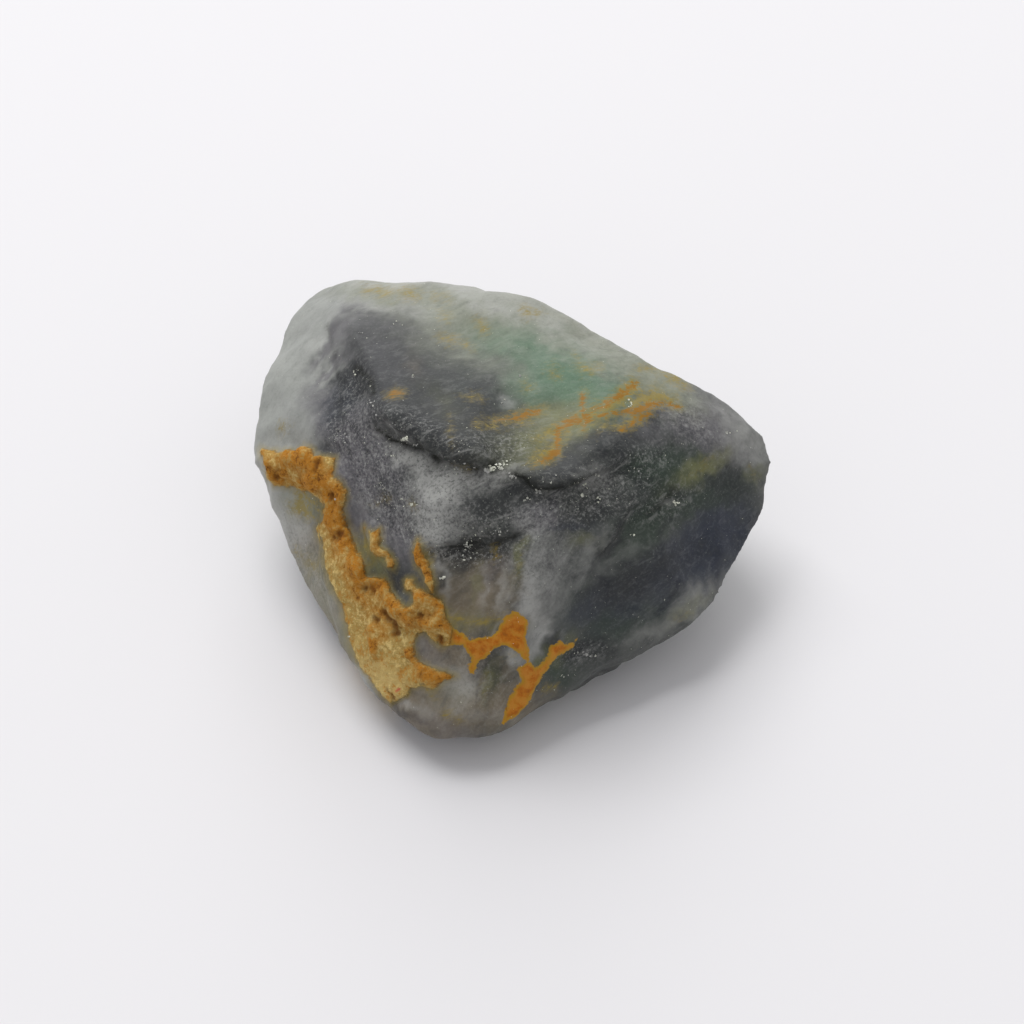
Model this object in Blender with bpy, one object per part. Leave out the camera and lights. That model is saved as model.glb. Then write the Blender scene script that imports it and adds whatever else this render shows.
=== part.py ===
"""A rough piece of fluorite, one solid that rests on the flat fracture face under it.

The block is the hull of its named corners. It is meshed evenly, its edges are worn round and
shallow chips are struck off it. Its ledges, hollows, cleavage steps and iron crust are then raised
or sunk along the surface's own normals. Sizes and places are in millimetres, and MM turns them
into metres.

The marks on the front are placed on a chart: millimetres right and up on the plane that faces
someone who looks down at the stone from SIGHT_DISTANCE and SIGHT_ELEVATION, with its zero on
SIGHT_AIM.
"""

import math

import bmesh
import bpy
import numpy as np
from mathutils import Vector, noise

MM = 0.001

SIGHT_AIM = np.array((0.0, -2.0, 10.7))
SIGHT_ELEVATION = math.radians(50.0)
SIGHT_DISTANCE = 260.0
SEEN_FACING = (-0.05, 0.25)  # the marks on the chart fade in between these
HIDDEN_FACING = (0.05, 0.4)  # and the cleavage steps between these, on what faces away

MESH_SPACING = 0.36
WEAR_PASSES = 42  # smoothing passes that round the block's edges
SOLID_TRIANGLES = 7600
FLOOR_BLEND = 0.6  # height over which the relief fades out above the flat face
FLAT_WITHIN = 0.05  # points this close to the floor are put on it
SHARP_ANGLE = math.radians(50.0)
STONE_COLOUR = (0.16, 0.18, 0.17, 1.0)

# Right (X), away (Y) and up (Z) of the block's corners.
CORNERS = {
    # the rim of the top, from the left shoulder round the back to the right tip
    "left_shoulder_low": (-20.8, 17.3, 14.0),
    "left_shoulder": (-17.6, 21.1, 15.0),
    "back_left_peak": (-13.6, 19.2, 17.4),
    "back_rim_left": (-6.8, 17.4, 19.5),
    "back_rim_middle": (-2.7, 15.9, 20.2),
    "back_rim_right": (2.1, 15.0, 20.5),
    "right_slope_top": (7.7, 11.4, 19.4),
    "right_shoulder_back": (20.5, 6.2, 15.4),
    "right_shoulder": (22.9, 4.8, 13.6),
    "right_tip": (23.2, 2.5, 11.5),
    # the lower edge, from the right tip round the front to the left
    "right_heel": (21.9, -0.4, 9.4),
    "right_underside": (21.0, -4.2, 8.0),
    "right_corner_low": (18.8, -9.0, 6.3),
    "right_foot": (15.3, -11.5, 5.4),
    "front_foot": (-0.9, -21.3, 3.6),
    "front_left_foot": (-5.6, -21.5, 3.3),
    "left_foot_front": (-9.0, -19.3, 3.1),
    "left_foot": (-11.2, -14.6, 2.9),
    "left_foot_back": (-19.0, -4.2, 4.1),
    "left_belly": (-21.1, -0.6, 6.4),
    "left_bulge": (-23.3, 5.7, 10.5),
    "left_bulge_top": (-23.0, 10.3, 12.5),
    # the ridges of the top and of the front
    "left_ridge_top": (-14.9, 11.1, 20.0),
    "left_ridge_bottom": (-15.3, 0.4, 17.5),
    "ledge_left": (-10.5, -1.2, 22.5),
    "ledge_middle": (-2.7, -6.9, 23.0),
    "ledge_right": (4.0, -8.0, 22.0),
    "top_right": (11.3, -1.2, 20.4),
    "nose_top": (2.7, -10.2, 21.0),
    "nose_middle": (1.8, -15.1, 13.5),
    "right_face_top": (16.2, -1.5, 15.8),
    "left_face_middle": (-7.8, -13.6, 13.0),
    # the back, which falls to the ground
    "back_left_low": (-16.7, 21.0, 7.0),
    "back_left_foot": (-10.0, 19.0, 3.0),
    "back_low": (-3.0, 19.6, 9.0),
    "back_right_low": (9.0, 13.6, 8.0),
    "right_back_low": (18.9, 6.6, 7.5),
    # the flat face that it rests on
    "base_front": (-5.0, -18.0, 0.0),
    "base_front_right": (4.0, -12.6, 0.0),
    "base_right": (9.6, -2.0, 0.0),
    "base_back_right": (4.0, 9.0, 0.0),
    "base_back": (-8.0, 13.0, 0.0),
    "base_left": (-15.6, 6.0, 0.0),
    "base_front_left": (-13.0, -9.0, 0.0),
}

# Routes on the chart. The side to the left of a route, walking along it, is the high side.
LEDGES = {
    "left_ledge": {
        "route": [(-12.5, 9.8), (-10.5, 7.3), (-8.1, 5.7), (-5.5, 4.5), (-2.4, 3.8), (-0.4, 4.3)],
        "height": 1.7,
        "reach": 2.4,
    },
    "right_ledge": {
        "route": [(-0.4, 3.8), (1.5, 2.4), (4.2, 1.8), (6.8, 2.8), (9.6, 4.4), (11.6, 5.2)],
        "height": 1.3,
        "reach": 2.0,
    },
    "nose_ledge": {
        "route": [(-8.2, -3.4), (-5.6, -2.9), (-2.4, -2.5), (0.4, -1.9), (2.6, -0.4)],
        "height": 0.6,
        "reach": 1.6,
    },
    "right_face_step": {
        "route": [(5.6, -7.0), (8.5, -2.9), (11.2, 0.8), (12.2, 3.0)],
        "height": 0.7,
        "reach": 2.2,
    },
}
LEDGE_EDGE = 0.45  # half width of a ledge's step

# Each chain is a row of discs on the chart: right, up and radius. The crust covers them and
# what lies between them.
CRUST_CHAINS = {
    "upper_band": [(-21.2, 4.4, 0.8), (-19.0, 4.3, 1.2), (-16.4, 3.8, 1.3)],
    "neck": [(-16.4, 3.8, 1.3), (-15.3, 1.5, 0.9), (-15.3, -0.7, 1.0)],
    "shoulder": [(-15.5, -1.6, 1.2), (-15.1, -4.2, 1.5), (-13.3, -7.7, 2.1)],
    "body": [(-13.3, -7.7, 2.1), (-12.0, -11.2, 2.4), (-10.6, -14.2, 1.9)],
    "right_lobe": [(-12.0, -6.8, 1.0), (-9.8, -8.6, 1.1), (-7.6, -8.6, 1.2)],
    "right_corner": [(-7.6, -8.6, 1.2), (-6.3, -9.8, 0.9), (-6.3, -11.2, 0.8)],
    "lower_lobe": [(-8.5, -14.2, 0.7), (-6.8, -14.5, 0.6), (-5.5, -14.2, 0.35)],
    "left_finger": [(-12.5, -1.6, 0.45), (-11.6, -3.3, 0.45), (-10.5, -4.8, 0.4)],
    "right_finger": [(-8.1, -3.2, 0.45), (-7.5, -5.1, 0.4), (-6.7, -6.8, 0.35)],
}
CRUST_THICKNESS = 0.5
CRUST_EDGE = 0.3  # half width of the crust's broken edge
CRUST_LUMP = 0.35  # height of the crust's own lumps
CRUST_LUMP_SIZE = 1.7

# Bumps (above zero) and hollows (below zero) on the chart: right, up, radius and height.
SWELLS = {
    "bench_below_left_ledge": (-6.6, 0.8, 3.2, 0.55),
    "hollow_below_bench": (-4.0, -2.4, 3.0, -0.35),
    "left_notch": (-22.4, 2.4, 1.6, -0.5),
    "left_face_hollow": (-12.0, 0.6, 4.0, -0.45),
    "foot_knob": (-4.6, -17.0, 2.6, 0.35),
    "right_face_hollow": (8.6, -9.6, 5.0, -0.5),
    "right_rim_knob": (15.0, -9.6, 2.4, 0.4),
    "tip_notch": (22.2, 5.6, 1.3, -0.4),
    "nose_streak": (1.3, -7.0, 2.2, 0.35),
}

# Large scoops that are missing from the outline: the middle of each one's ball, and its radius.
SCOOPS = {
    "under_the_right_front": (13.1, -21.6, -0.7, 10.0),
    "beside_the_crust": (-27.2, 1.8, 7.9, 6.0),
    "back_of_the_right_slope": (19.5, 18.2, 25.3, 14.0),
}
# Low steps where the hidden sides parted along the cleavage.
STEP_CLIMB = np.array((0.42, -0.18, 0.89))
STEP_PITCH = 6.5
STEP_RISE = 0.8
STEP_WANDER = 0.55  # how far the steps stray from their planes, in pitches

CHIPS = 110
CHIP_RADIUS = (6.0, 26.0)  # of the ball that each chip is the dent of
CHIP_DEPTH = (0.1, 0.5)
CHIP_LOWEST = 2.0  # no chip is struck lower than this above the floor
CHIP_SEED = 17
UNDULATIONS = (  # wavelength and height of each
    (11.0, 0.55),
    (4.2, 0.22),
)


def sight_axes():
    """The directions right, up and back along the line of sight."""
    right = np.array((1.0, 0.0, 0.0))
    up = np.array((0.0, math.sin(SIGHT_ELEVATION), math.cos(SIGHT_ELEVATION)))
    back = np.array((0.0, -math.cos(SIGHT_ELEVATION), math.sin(SIGHT_ELEVATION)))
    return right, up, back


def chart(points, normals):
    """Each point's place on the chart, and how squarely its surface faces the eye, from -1 to 1."""
    right, up, back = sight_axes()
    away = points - SIGHT_AIM
    scale = SIGHT_DISTANCE / (SIGHT_DISTANCE - away @ back)
    placed = np.stack(((away @ right) * scale, (away @ up) * scale), axis=1)
    eye = SIGHT_AIM + back * SIGHT_DISTANCE
    towards_eye = (eye - points) / np.linalg.norm(eye - points, axis=1)[:, None]
    return placed, np.einsum("ij,ij->i", normals, towards_eye)


def smooth_step(value, low, high):
    """0 below low, 1 above high, and a smooth rise between."""
    share = np.clip((value - low) / (high - low), 0.0, 1.0)
    return share * share * (3.0 - 2.0 * share)


def fractal(points, wavelength, seed):
    """Fractal noise of about -1 to 1 at each point."""
    shift = Vector((seed * 13.7, seed * 5.1, seed * 9.3))
    return np.array([noise.fractal(Vector(p) / wavelength + shift, 1.0, 2.0, 3) for p in points])


def along_route(places, route):
    """Each place's signed distance from the route, positive to its left, and its share of the way."""
    route = np.array(route)
    starts, ends = route[:-1], route[1:]
    lengths = np.linalg.norm(ends - starts, axis=1)
    before = np.concatenate(([0.0], np.cumsum(lengths)[:-1]))
    nearest = np.full(len(places), np.inf)
    signed = np.zeros(len(places))
    share = np.zeros(len(places))
    for start, end, length, done in zip(starts, ends, lengths, before):
        along = (end - start) / length
        offset = places - start
        on = np.clip(offset @ along, 0.0, length)
        gap = np.linalg.norm(offset - on[:, None] * along, axis=1)
        side = np.where(along[0] * offset[:, 1] - along[1] * offset[:, 0] >= 0.0, 1.0, -1.0)
        closer = gap < nearest
        nearest = np.where(closer, gap, nearest)
        signed = np.where(closer, gap * side, signed)
        share = np.where(closer, (done + on) / lengths.sum(), share)
    return signed, share


def inside_chains(places, chains):
    """How far each place lies inside the nearest chain of discs, and below zero outside them."""
    depth = np.full(len(places), -np.inf)
    for chain in chains.values():
        discs = np.array(chain)
        for start, end in zip(discs[:-1], discs[1:]):
            run = end[:2] - start[:2]
            on = np.clip(((places - start[:2]) @ run) / (run @ run), 0.0, 1.0)
            gap = np.linalg.norm(places - start[:2] - on[:, None] * run, axis=1)
            depth = np.maximum(depth, start[2] + on * (end[2] - start[2]) - gap)
    return depth


def ledge_relief(places):
    """Steps that drop from the high side of each ledge to its low side and fade out away from it."""
    height = np.zeros(len(places))
    for ledge in LEDGES.values():
        signed, share = along_route(places, ledge["route"])
        ends = smooth_step(share, 0.0, 0.2) * smooth_step(1.0 - share, 0.0, 0.2)
        step = smooth_step(signed, -LEDGE_EDGE, LEDGE_EDGE) - 0.5
        fade = np.exp(-((signed / ledge["reach"]) ** 2))
        height += ledge["height"] * step * fade * ends
    return height


def swell_relief(places):
    height = np.zeros(len(places))
    for right, up, radius, rise in SWELLS.values():
        gap = np.linalg.norm(places - np.array((right, up)), axis=1)
        height += rise * np.exp(-((gap / radius) ** 2))
    return height


def crust_relief(points, places):
    """The crust's thickness where it lies, lumpy on top and broken off at its edge."""
    ragged = 0.35 * fractal(points, 1.6, seed=5)
    cover = smooth_step(inside_chains(places, CRUST_CHAINS) + ragged, -CRUST_EDGE, CRUST_EDGE)
    lumps = 0.5 + 0.5 * fractal(points, CRUST_LUMP_SIZE, seed=6)
    return cover * (CRUST_THICKNESS + CRUST_LUMP * lumps)


def dent(points, centre, radius):
    """Pushes out of a ball the points that lie inside it."""
    out = points - centre
    gap = np.linalg.norm(out, axis=1)
    return centre + out * (np.maximum(gap, radius) / gap)[:, None]


def cleavage_relief(points):
    """Slopes that climb by STEP_RISE, half of it above the surface, and drop back at each step."""
    climb = points @ STEP_CLIMB / STEP_PITCH + STEP_WANDER * fractal(points, 13.0, seed=8)
    share = climb - np.floor(climb)
    return STEP_RISE * (share - smooth_step(share, 0.86, 1.0) - 0.45)


def strike_chips(points, normals):
    """The named scoops, and shallow chips at seeded places, each the dent of a ball."""
    for right, away, up, radius in SCOOPS.values():
        points = dent(points, np.array((right, away, up)), radius)
    chance = np.random.default_rng(CHIP_SEED)
    places = np.flatnonzero(points[:, 2] > CHIP_LOWEST)
    for struck in chance.choice(places, CHIPS):
        radius = chance.uniform(*CHIP_RADIUS)
        centre = points[struck] + normals[struck] * (radius - chance.uniform(*CHIP_DEPTH))
        points = dent(points, centre, radius)
    return points


def read_mesh(mesh):
    """The mesh's points in millimetres and their normals."""
    points = np.empty(len(mesh.vertices) * 3)
    mesh.vertices.foreach_get("co", points)
    normals = np.empty(len(mesh.vertices) * 3)
    mesh.vertex_normals.foreach_get("vector", normals)
    return points.reshape(-1, 3) / MM, normals.reshape(-1, 3)


def write_mesh(mesh, points):
    mesh.vertices.foreach_set("co", (points * MM).ravel())
    mesh.update()


def hull_object(name, corners):
    """A convex block with these corners."""
    block = bmesh.new()
    for corner in corners.values():
        block.verts.new(Vector(corner) * MM)
    bmesh.ops.convex_hull(block, input=block.verts)
    loose = [vert for vert in block.verts if not vert.link_faces]
    bmesh.ops.delete(block, geom=loose, context="VERTS")
    bmesh.ops.recalc_face_normals(block, faces=block.faces)
    mesh = bpy.data.meshes.new(name)
    block.to_mesh(mesh)
    block.free()
    made = bpy.data.objects.new(name, mesh)
    bpy.context.scene.collection.objects.link(made)
    return made


def apply_modifiers(made):
    """Turns the object's mesh into what its modifiers make of it."""
    graph = bpy.context.evaluated_depsgraph_get()
    applied = bpy.data.meshes.new_from_object(made.evaluated_get(graph))
    made.modifiers.clear()
    made.data = applied


def wear_edges(made):
    remesh = made.modifiers.new("even mesh", "REMESH")
    remesh.mode = "VOXEL"
    remesh.voxel_size = MESH_SPACING * MM
    worn = made.modifiers.new("worn edges", "SMOOTH")
    worn.factor = 0.5
    worn.iterations = WEAR_PASSES
    apply_modifiers(made)


def carve(made):
    """Strikes the chips and raises the relief."""
    points, normals = read_mesh(made.data)
    points = strike_chips(points, normals)
    places, facing = chart(points, normals)
    seen = smooth_step(facing, *SEEN_FACING)
    height = seen * (ledge_relief(places) + swell_relief(places) + crust_relief(points, places))
    height += smooth_step(-facing, *HIDDEN_FACING) * cleavage_relief(points)
    for seed, (wavelength, rise) in enumerate(UNDULATIONS):
        height += rise * fractal(points, wavelength, seed)
    above_floor = smooth_step(points[:, 2], 0.0, FLOOR_BLEND)
    write_mesh(made.data, points + normals * (height * above_floor)[:, None])


def reduce_faces(made):
    """Thins the mesh to the triangles that the solid keeps, most of them on its edges and steps."""
    thin = made.modifiers.new("fewer faces", "DECIMATE")
    thin.use_collapse_triangulate = True
    thin.ratio = SOLID_TRIANGLES / (2 * len(made.data.polygons))
    apply_modifiers(made)


def stand_on_floor(made):
    """Makes the face it rests on exactly flat, and puts the origin under the stone's middle."""
    points, _ = read_mesh(made.data)
    points[points[:, 2] < FLAT_WITHIN, 2] = 0.0
    middle = (points.min(axis=0) + points.max(axis=0)) / 2.0
    write_mesh(made.data, points - (middle[0], middle[1], 0.0))


def finish(made):
    surface = bpy.data.materials.new("cloudy_fluorite")
    surface.use_nodes = True
    shader = surface.node_tree.nodes["Principled BSDF"]
    shader.inputs["Base Color"].default_value = STONE_COLOUR
    shader.inputs["Roughness"].default_value = 0.5
    made.data.materials.clear()
    made.data.materials.append(surface)
    made.data.shade_smooth()
    made.data.set_sharp_from_angle(angle=SHARP_ANGLE)


def main():
    for old in list(bpy.data.objects):
        bpy.data.objects.remove(old)
    stone = hull_object("fluorite", CORNERS)
    wear_edges(stone)
    carve(stone)
    reduce_faces(stone)
    stand_on_floor(stone)
    finish(stone)


main()
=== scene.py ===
"""Dresses a rough piece of fluorite: worn skin, broken ledges, rusty iron crust and cloudy tones.

The stone is a fine copy of the fixed frame's node. Its detail is raised or sunk along its own
normals, and what each place is made of is kept in point attributes that its material reads.

Sizes and places are in millimetres, and MM turns them into metres. The marks on the front are
placed on a chart: millimetres right and up on the plane that faces someone who looks down at the
stone from the stage's sight distance and elevation, with its zero on SIGHT_AIM.
"""

import math
import random

import bmesh
import bpy
import numpy as np
from mathutils import Euler, Matrix, Vector, noise


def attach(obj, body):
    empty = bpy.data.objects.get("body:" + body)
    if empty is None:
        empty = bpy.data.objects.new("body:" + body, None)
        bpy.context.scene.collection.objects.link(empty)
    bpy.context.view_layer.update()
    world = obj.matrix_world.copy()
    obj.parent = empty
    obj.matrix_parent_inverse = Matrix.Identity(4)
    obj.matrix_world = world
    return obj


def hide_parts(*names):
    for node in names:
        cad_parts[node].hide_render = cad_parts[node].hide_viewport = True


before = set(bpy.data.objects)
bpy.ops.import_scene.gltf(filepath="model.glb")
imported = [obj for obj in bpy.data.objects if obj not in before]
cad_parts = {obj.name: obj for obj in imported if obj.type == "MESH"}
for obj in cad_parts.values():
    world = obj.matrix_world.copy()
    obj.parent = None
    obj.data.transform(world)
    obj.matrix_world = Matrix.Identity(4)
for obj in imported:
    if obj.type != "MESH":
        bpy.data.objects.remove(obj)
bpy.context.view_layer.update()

bl_info = {
    "name": "Raw Fluorite",
    "version": (1, 0, 0),
    "blender": (4, 5, 0),
    "location": "3D View > Sidebar > Fluorite",
    "description": "Builds a rough piece of cloudy fluorite with an iron crust, and its stage",
    "category": "Add Mesh",
}

MM = 0.001

SIGHT_AIM = np.array((0.1, -2.1, 10.7))
SIGHT_ELEVATION = math.radians(50.0)
SIGHT_DISTANCE = 260.0
SIGHT_WIDTH = 89.6  # what the camera sees across at SIGHT_AIM
SENSOR_WIDTH = 36.0
LAMP_AIM = (0.0, 0.0, 0.01)
FLOOR_HALF_SIDE = 3.0

FLUORITE_IOR = 1.434
WELD_DISTANCE = 1e-6
FOOT_HEIGHT = 0.8  # the fine detail fades towards the floor below this height

# How squarely a place faces the eye, from -1 to 1, where each kind of mark starts and is full.
SEEN = (-0.05, 0.2)
CRUST_SEEN = (-0.4, 0.1)
SWELLING_SEEN = (-0.7, -0.2)
UNSEEN_DEPTH = 6.0  # a mark lies this much outside its outline where the chart doesn't reach
CRUST_TURN = -0.3  # beyond this the crust's outline draws in, by this much for each step of facing
CRUST_FADE = 5.0

# Layers of noise, each an amount, a wavelength and a seed.
EDGE_NOISE = ((0.22, 1.4, 1), (0.12, 0.5, 2))
SKIN_NOISE = ((1.0, 2.6, 3), (0.5, 0.9, 4))
GRAIN_NOISE = ((1.0, 0.9, 6), (0.6, 0.55, 7))
LEDGE_NOISE = ((0.3, 2.4, 11), (0.2, 0.8, 12))
RIDGE_NOISE = ((0.3, 1.0, 21), (0.15, 0.5, 24))
CRUMB_NOISE = ((0.5, 1.2, 22), (1.0, 0.55, 23))

# The height of each ledge, the darkness of the painted shade on its lip and band, which also sets how
# broken the band is, and its route on the chart. The side to the left of a route, walking along it, is the
# high side.
LEDGES = {
    "left_ledge": (0.4, 1, [
        (-12.2, 8.6), (-11.6, 7.3), (-10.6, 6.3), (-9.2, 6), (-7.6, 5.4), (-6.4, 4.6), (-4.8, 4.2),
        (-3.2, 4), (-1.8, 4.4), (-0.9, 5),
    ]),
    "right_ledge": (0.4, 0.9, [
        (-0.6, 3.7), (0.9, 3), (2.2, 2.1), (3.2, 1.9), (4.6, 2.2), (6, 2.7), (7.2, 3.3), (8.6, 3.6),
    ]),
    "nose_ledge": (0.25, 0.6, [
        (-6.2, -2.6), (-4.8, -2.9), (-3.4, -2.7), (-2, -2.8), (-0.2, -2.2), (1.4, -1.8),
    ]),
    "notch": (0.35, 0.7, [(-11.9, 10), (-12.2, 11), (-12.9, 12), (-13.4, 12.6), (-14.3, 12.3)]),
    "facet_crease": (0.1, 0.22, [(-16.4, 17.4), (-15.8, 15.4), (-15.2, 12.8), (-14.9, 10), (-14.8, 7)]),
    "right_fold": (0.3, 0.4, [(7.3, -4.3), (8.5, -2.9), (9.6, -1.1), (10.6, 0.4), (11.6, 0.9)]),
    "far_crack": (0.15, 0.4, [(15, 2.3), (14, 1.9), (12.8, 0.3), (11.4, -0.4)]),
}
LEDGE_CRISP = 0.16  # half width of the step that is cut, and of the soft one that it takes away
LEDGE_SOFT = 0.9
LEDGE_BAND = 0.9  # the broken band above a ledge, darkened with painted shade, fades over this, and the one below it over less
LEDGE_FOOT = 0.25
LIP_SHADE_BELOW = 0.1  # how far below a ledge its dark lip of painted shade lies, and the lip's width
LIP_SHADE_WIDTH = 0.2
LEDGE_TAPER = 0.15  # share of a ledge's way over which each end fades

# Each ellipse is its middle, right and up, half length, half width, turn in degrees and strength.
# The swellings of the worn form have their height in millimetres for it.
SWELLINGS = {"foot_corner": (-9.6, -17, 1.8, 1.4, -45, 0.7)}
FLUTED_FACET = (-16.6, 13.3, 1.5, 3.6)  # middle and half sizes of the rippled place on the left
FLUTE_CLIMB = 57  # degrees that the ripples climb by
FLUTE_SPACING = 1.15
GROOVE_CLIMB = -64  # degrees that the grooves of the left fracture climb by
GROOVE_STRETCH = 0.3

# The outlines of the crust and of the smooth coating on the chart.
CRUST_OUTLINES = {
    "main": [
        (-21.9, 5.5), (-20.6, 5.3), (-18.8, 5.3), (-18.1, 5.7), (-17.5, 5.4), (-17.2, 4.9), (-15.6, 4.6),
        (-15.7, 3.3), (-14.9, 2.6), (-14.5, 1.8), (-14.7, 0.2), (-14.3, -1.2), (-13.9, -2.6),
        (-13.1, -4.1), (-12.6, -5.7), (-11.1, -5.8), (-10.6, -6.6), (-10.2, -7.7), (-9.3, -8.3),
        (-8.5, -8.1), (-8.6, -7), (-9.2, -6.8), (-9.2, -6), (-8.6, -5.9), (-8.3, -6.7), (-7.2, -7.1),
        (-6.2, -7.9), (-5.9, -9.2), (-5.2, -10), (-5.4, -11.4), (-6, -11.8), (-6.8, -11.3), (-7.5, -10.5),
        (-8.1, -10.7), (-8.8, -11.6), (-8.3, -12.7), (-7.3, -13.6), (-5.9, -14), (-5.2, -14.4),
        (-6.2, -14.9), (-6.8, -15.5), (-7.9, -14.9), (-8.6, -15.3), (-9.1, -15.9), (-10.3, -16.4),
        (-11.5, -15.6), (-12.9, -13.9), (-13.9, -12.3), (-14.3, -10.4), (-14.9, -8), (-15.9, -6),
        (-16.4, -3.6), (-17.1, -1.4), (-16.5, -0.8), (-16.3, 0.6), (-17.4, 1.6), (-18.9, 2.2),
        (-20.8, 2.3), (-21.3, 3), (-21.6, 4.2),
    ],
    "left_finger": [
        (-12.9, -1.4), (-12.2, -1.7), (-11.6, -1.4), (-11.5, -2.4), (-11.8, -3), (-10.8, -3.5),
        (-10.3, -4.2), (-10.4, -4.9), (-10.8, -4.7), (-11.1, -4), (-11.9, -3.9), (-12.5, -3.3),
        (-12.3, -2.7), (-12.6, -1.9),
    ],
    "right_finger": [
        (-8.2, -2.5), (-7.8, -3.6), (-7.1, -5), (-6.9, -6.2), (-7, -7), (-7.4, -6.1), (-8.1, -4.8),
        (-8.7, -3.4),
    ],
}
COATING_OUTLINES = {
    "web": [
        (-5.6, -9.7), (-4.5, -10.6), (-3.8, -11.1), (-2.6, -10.9), (-1.7, -10.8), (-0.9, -9.8),
        (0.2, -8.6), (0.9, -9), (1.4, -9.5), (1.3, -10.6), (1.4, -12.4), (2, -13.8), (3.2, -12.7),
        (3.3, -11.8), (4.2, -11.2), (4.8, -11.6), (5.7, -11.1), (5.3, -11.8), (4.1, -12.6), (2.7, -14.2),
        (1.9, -15.7), (1, -17.2), (0.3, -17.9), (-0.9, -18.5), (-0.5, -17), (0.2, -15.5), (1, -14.7),
        (0.5, -13.7), (1.1, -13.1), (0.5, -12.2), (-0.9, -11.5), (-1.7, -12.1), (-2.8, -13.1),
        (-3.5, -14.5), (-3.8, -13.8), (-3.6, -12.7), (-4.3, -11.6), (-5.9, -11.7),
    ],
}

# Each chain is a row of discs on the chart: right, up and radius. First the crust's raised
# rust-red lines, its brown pits and its red specks, then the veins and stains on the bare stone.
RIDGES = {
    "band_left": [(-21.6, 4.9, 0.2), (-20.9, 3.3, 0.3), (-20.2, 2.9, 0.3)],
    "band": [
        (-19.6, 4.8, 0.5), (-18.4, 4.7, 0.8), (-17.4, 4.3, 0.6), (-16.9, 3.4, 0.4), (-18.2, 2.6, 0.4),
    ],
    "band_foot": [(-18.2, 2.6, 0.4), (-17.2, 2.3, 0.4), (-16.2, 2.6, 0.5)],
    "neck_right": [
        (-16.2, 2.6, 0.4), (-15.2, 2.2, 0.4), (-14.9, 1, 0.3), (-15, -0.2, 0.3), (-14.6, -1.4, 0.5),
    ],
    "neck_left": [(-16.2, 2, 0.4), (-15.8, 1, 0.5), (-15.8, -0.2, 0.5), (-15.5, -1.4, 0.4)],
    "shoulder": [
        (-14.6, -1.4, 0.5), (-14.2, -2.3, 0.3), (-13.9, -3.4, 0.3), (-13.6, -4.6, 0.5), (-13.2, -5.3, 0.6),
    ],
    "arch": [
        (-13.4, -6.1, 0.3), (-12.4, -5.9, 0.2), (-11.4, -6.1, 0.3), (-10.9, -6.8, 0.4), (-10.5, -7.7, 0.3),
    ],
    "arch_foot": [(-10.5, -7.7, 0.3), (-10, -8.5, 0.4), (-9.3, -8.7, 0.3), (-8.6, -8.4, 0.2)],
    "lobe": [(-8.7, -7.9, 0.2), (-8, -7.4, 0.4), (-7.1, -7.6, 0.3), (-6.4, -8.3, 0.3), (-6.3, -9.4, 0.3)],
    "lobe_foot": [(-6.3, -9.4, 0.3), (-5.8, -10.3, 0.4), (-5.2, -10.8, 0.4)],
    "lobe_cross": [(-7.9, -9.6, 0.3), (-7.2, -9.8, 0.3), (-6.4, -9.8, 0.3)],
    "saddle": [(-9.3, -8.8, 0.2), (-8.9, -9.6, 0.2)],
    "column": [(-12.1, -10.3, 0.3), (-12, -11.4, 0.3), (-11.9, -12.7, 0.2)],
    "foot": [
        (-8.9, -12.3, 0.3), (-8.3, -13.2, 0.3), (-7.4, -14.1, 0.4), (-6.3, -14.5, 0.3), (-5.4, -14.4, 0.1),
    ],
    "left_finger": [(-11.9, -1.6, 0.2), (-11.7, -2.6, 0.2), (-11, -3.5, 0.2)],
    "right_finger": [(-8.2, -3, 0.2), (-8, -4, 0.2), (-7.4, -5.2, 0.2), (-7.1, -6.4, 0.1)],
}
HOLLOWS = {
    "band_spot": [(-20.5, 3.4, 0), (-20.3, 3, 0)],
    "band_edge": [(-16.8, 4.3, 0.2), (-16.9, 3.6, 0.2)],
    "under_band": [(-18, 1.6, 0.1), (-17.4, 1.3, 0.2)],
    "neck": [(-15.5, 1.7, 0.1), (-15.4, 1.2, 0.1)],
    "shoulder": [(-15.4, -2.2, 0.2), (-14.8, -1.9, 0.2)],
    "arch": [(-12.9, -6.6, 0.25), (-12.2, -6.7, 0.4), (-11.6, -6.5, 0.3)],
    "belly": [(-11.4, -8.7, 0.3), (-10.9, -9.1, 0.3), (-10.2, -9.7, 0.35), (-10.1, -10.5, 0.35)],
    "belly_low": [(-11.8, -9.3, 0.2), (-11.2, -9.8, 0.2)],
    "lobe": [(-8.3, -8.6, 0.15), (-7.8, -9, 0.2), (-7.1, -8.9, 0.15)],
    "knob": [(-6.5, -10.7, 0.2), (-6.1, -11.1, 0.25)],
    "foot": [(-7.9, -14.2, 0), (-7.5, -14, 0)],
    "corner": [(-10.6, -15.6, 0.1), (-10.2, -15.8, 0.2)],
}
RED_SPOTS = {
    "corner": [(-9.9, -15.5, 0.06), (-9.7, -15.3, 0.1)],
}
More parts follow.
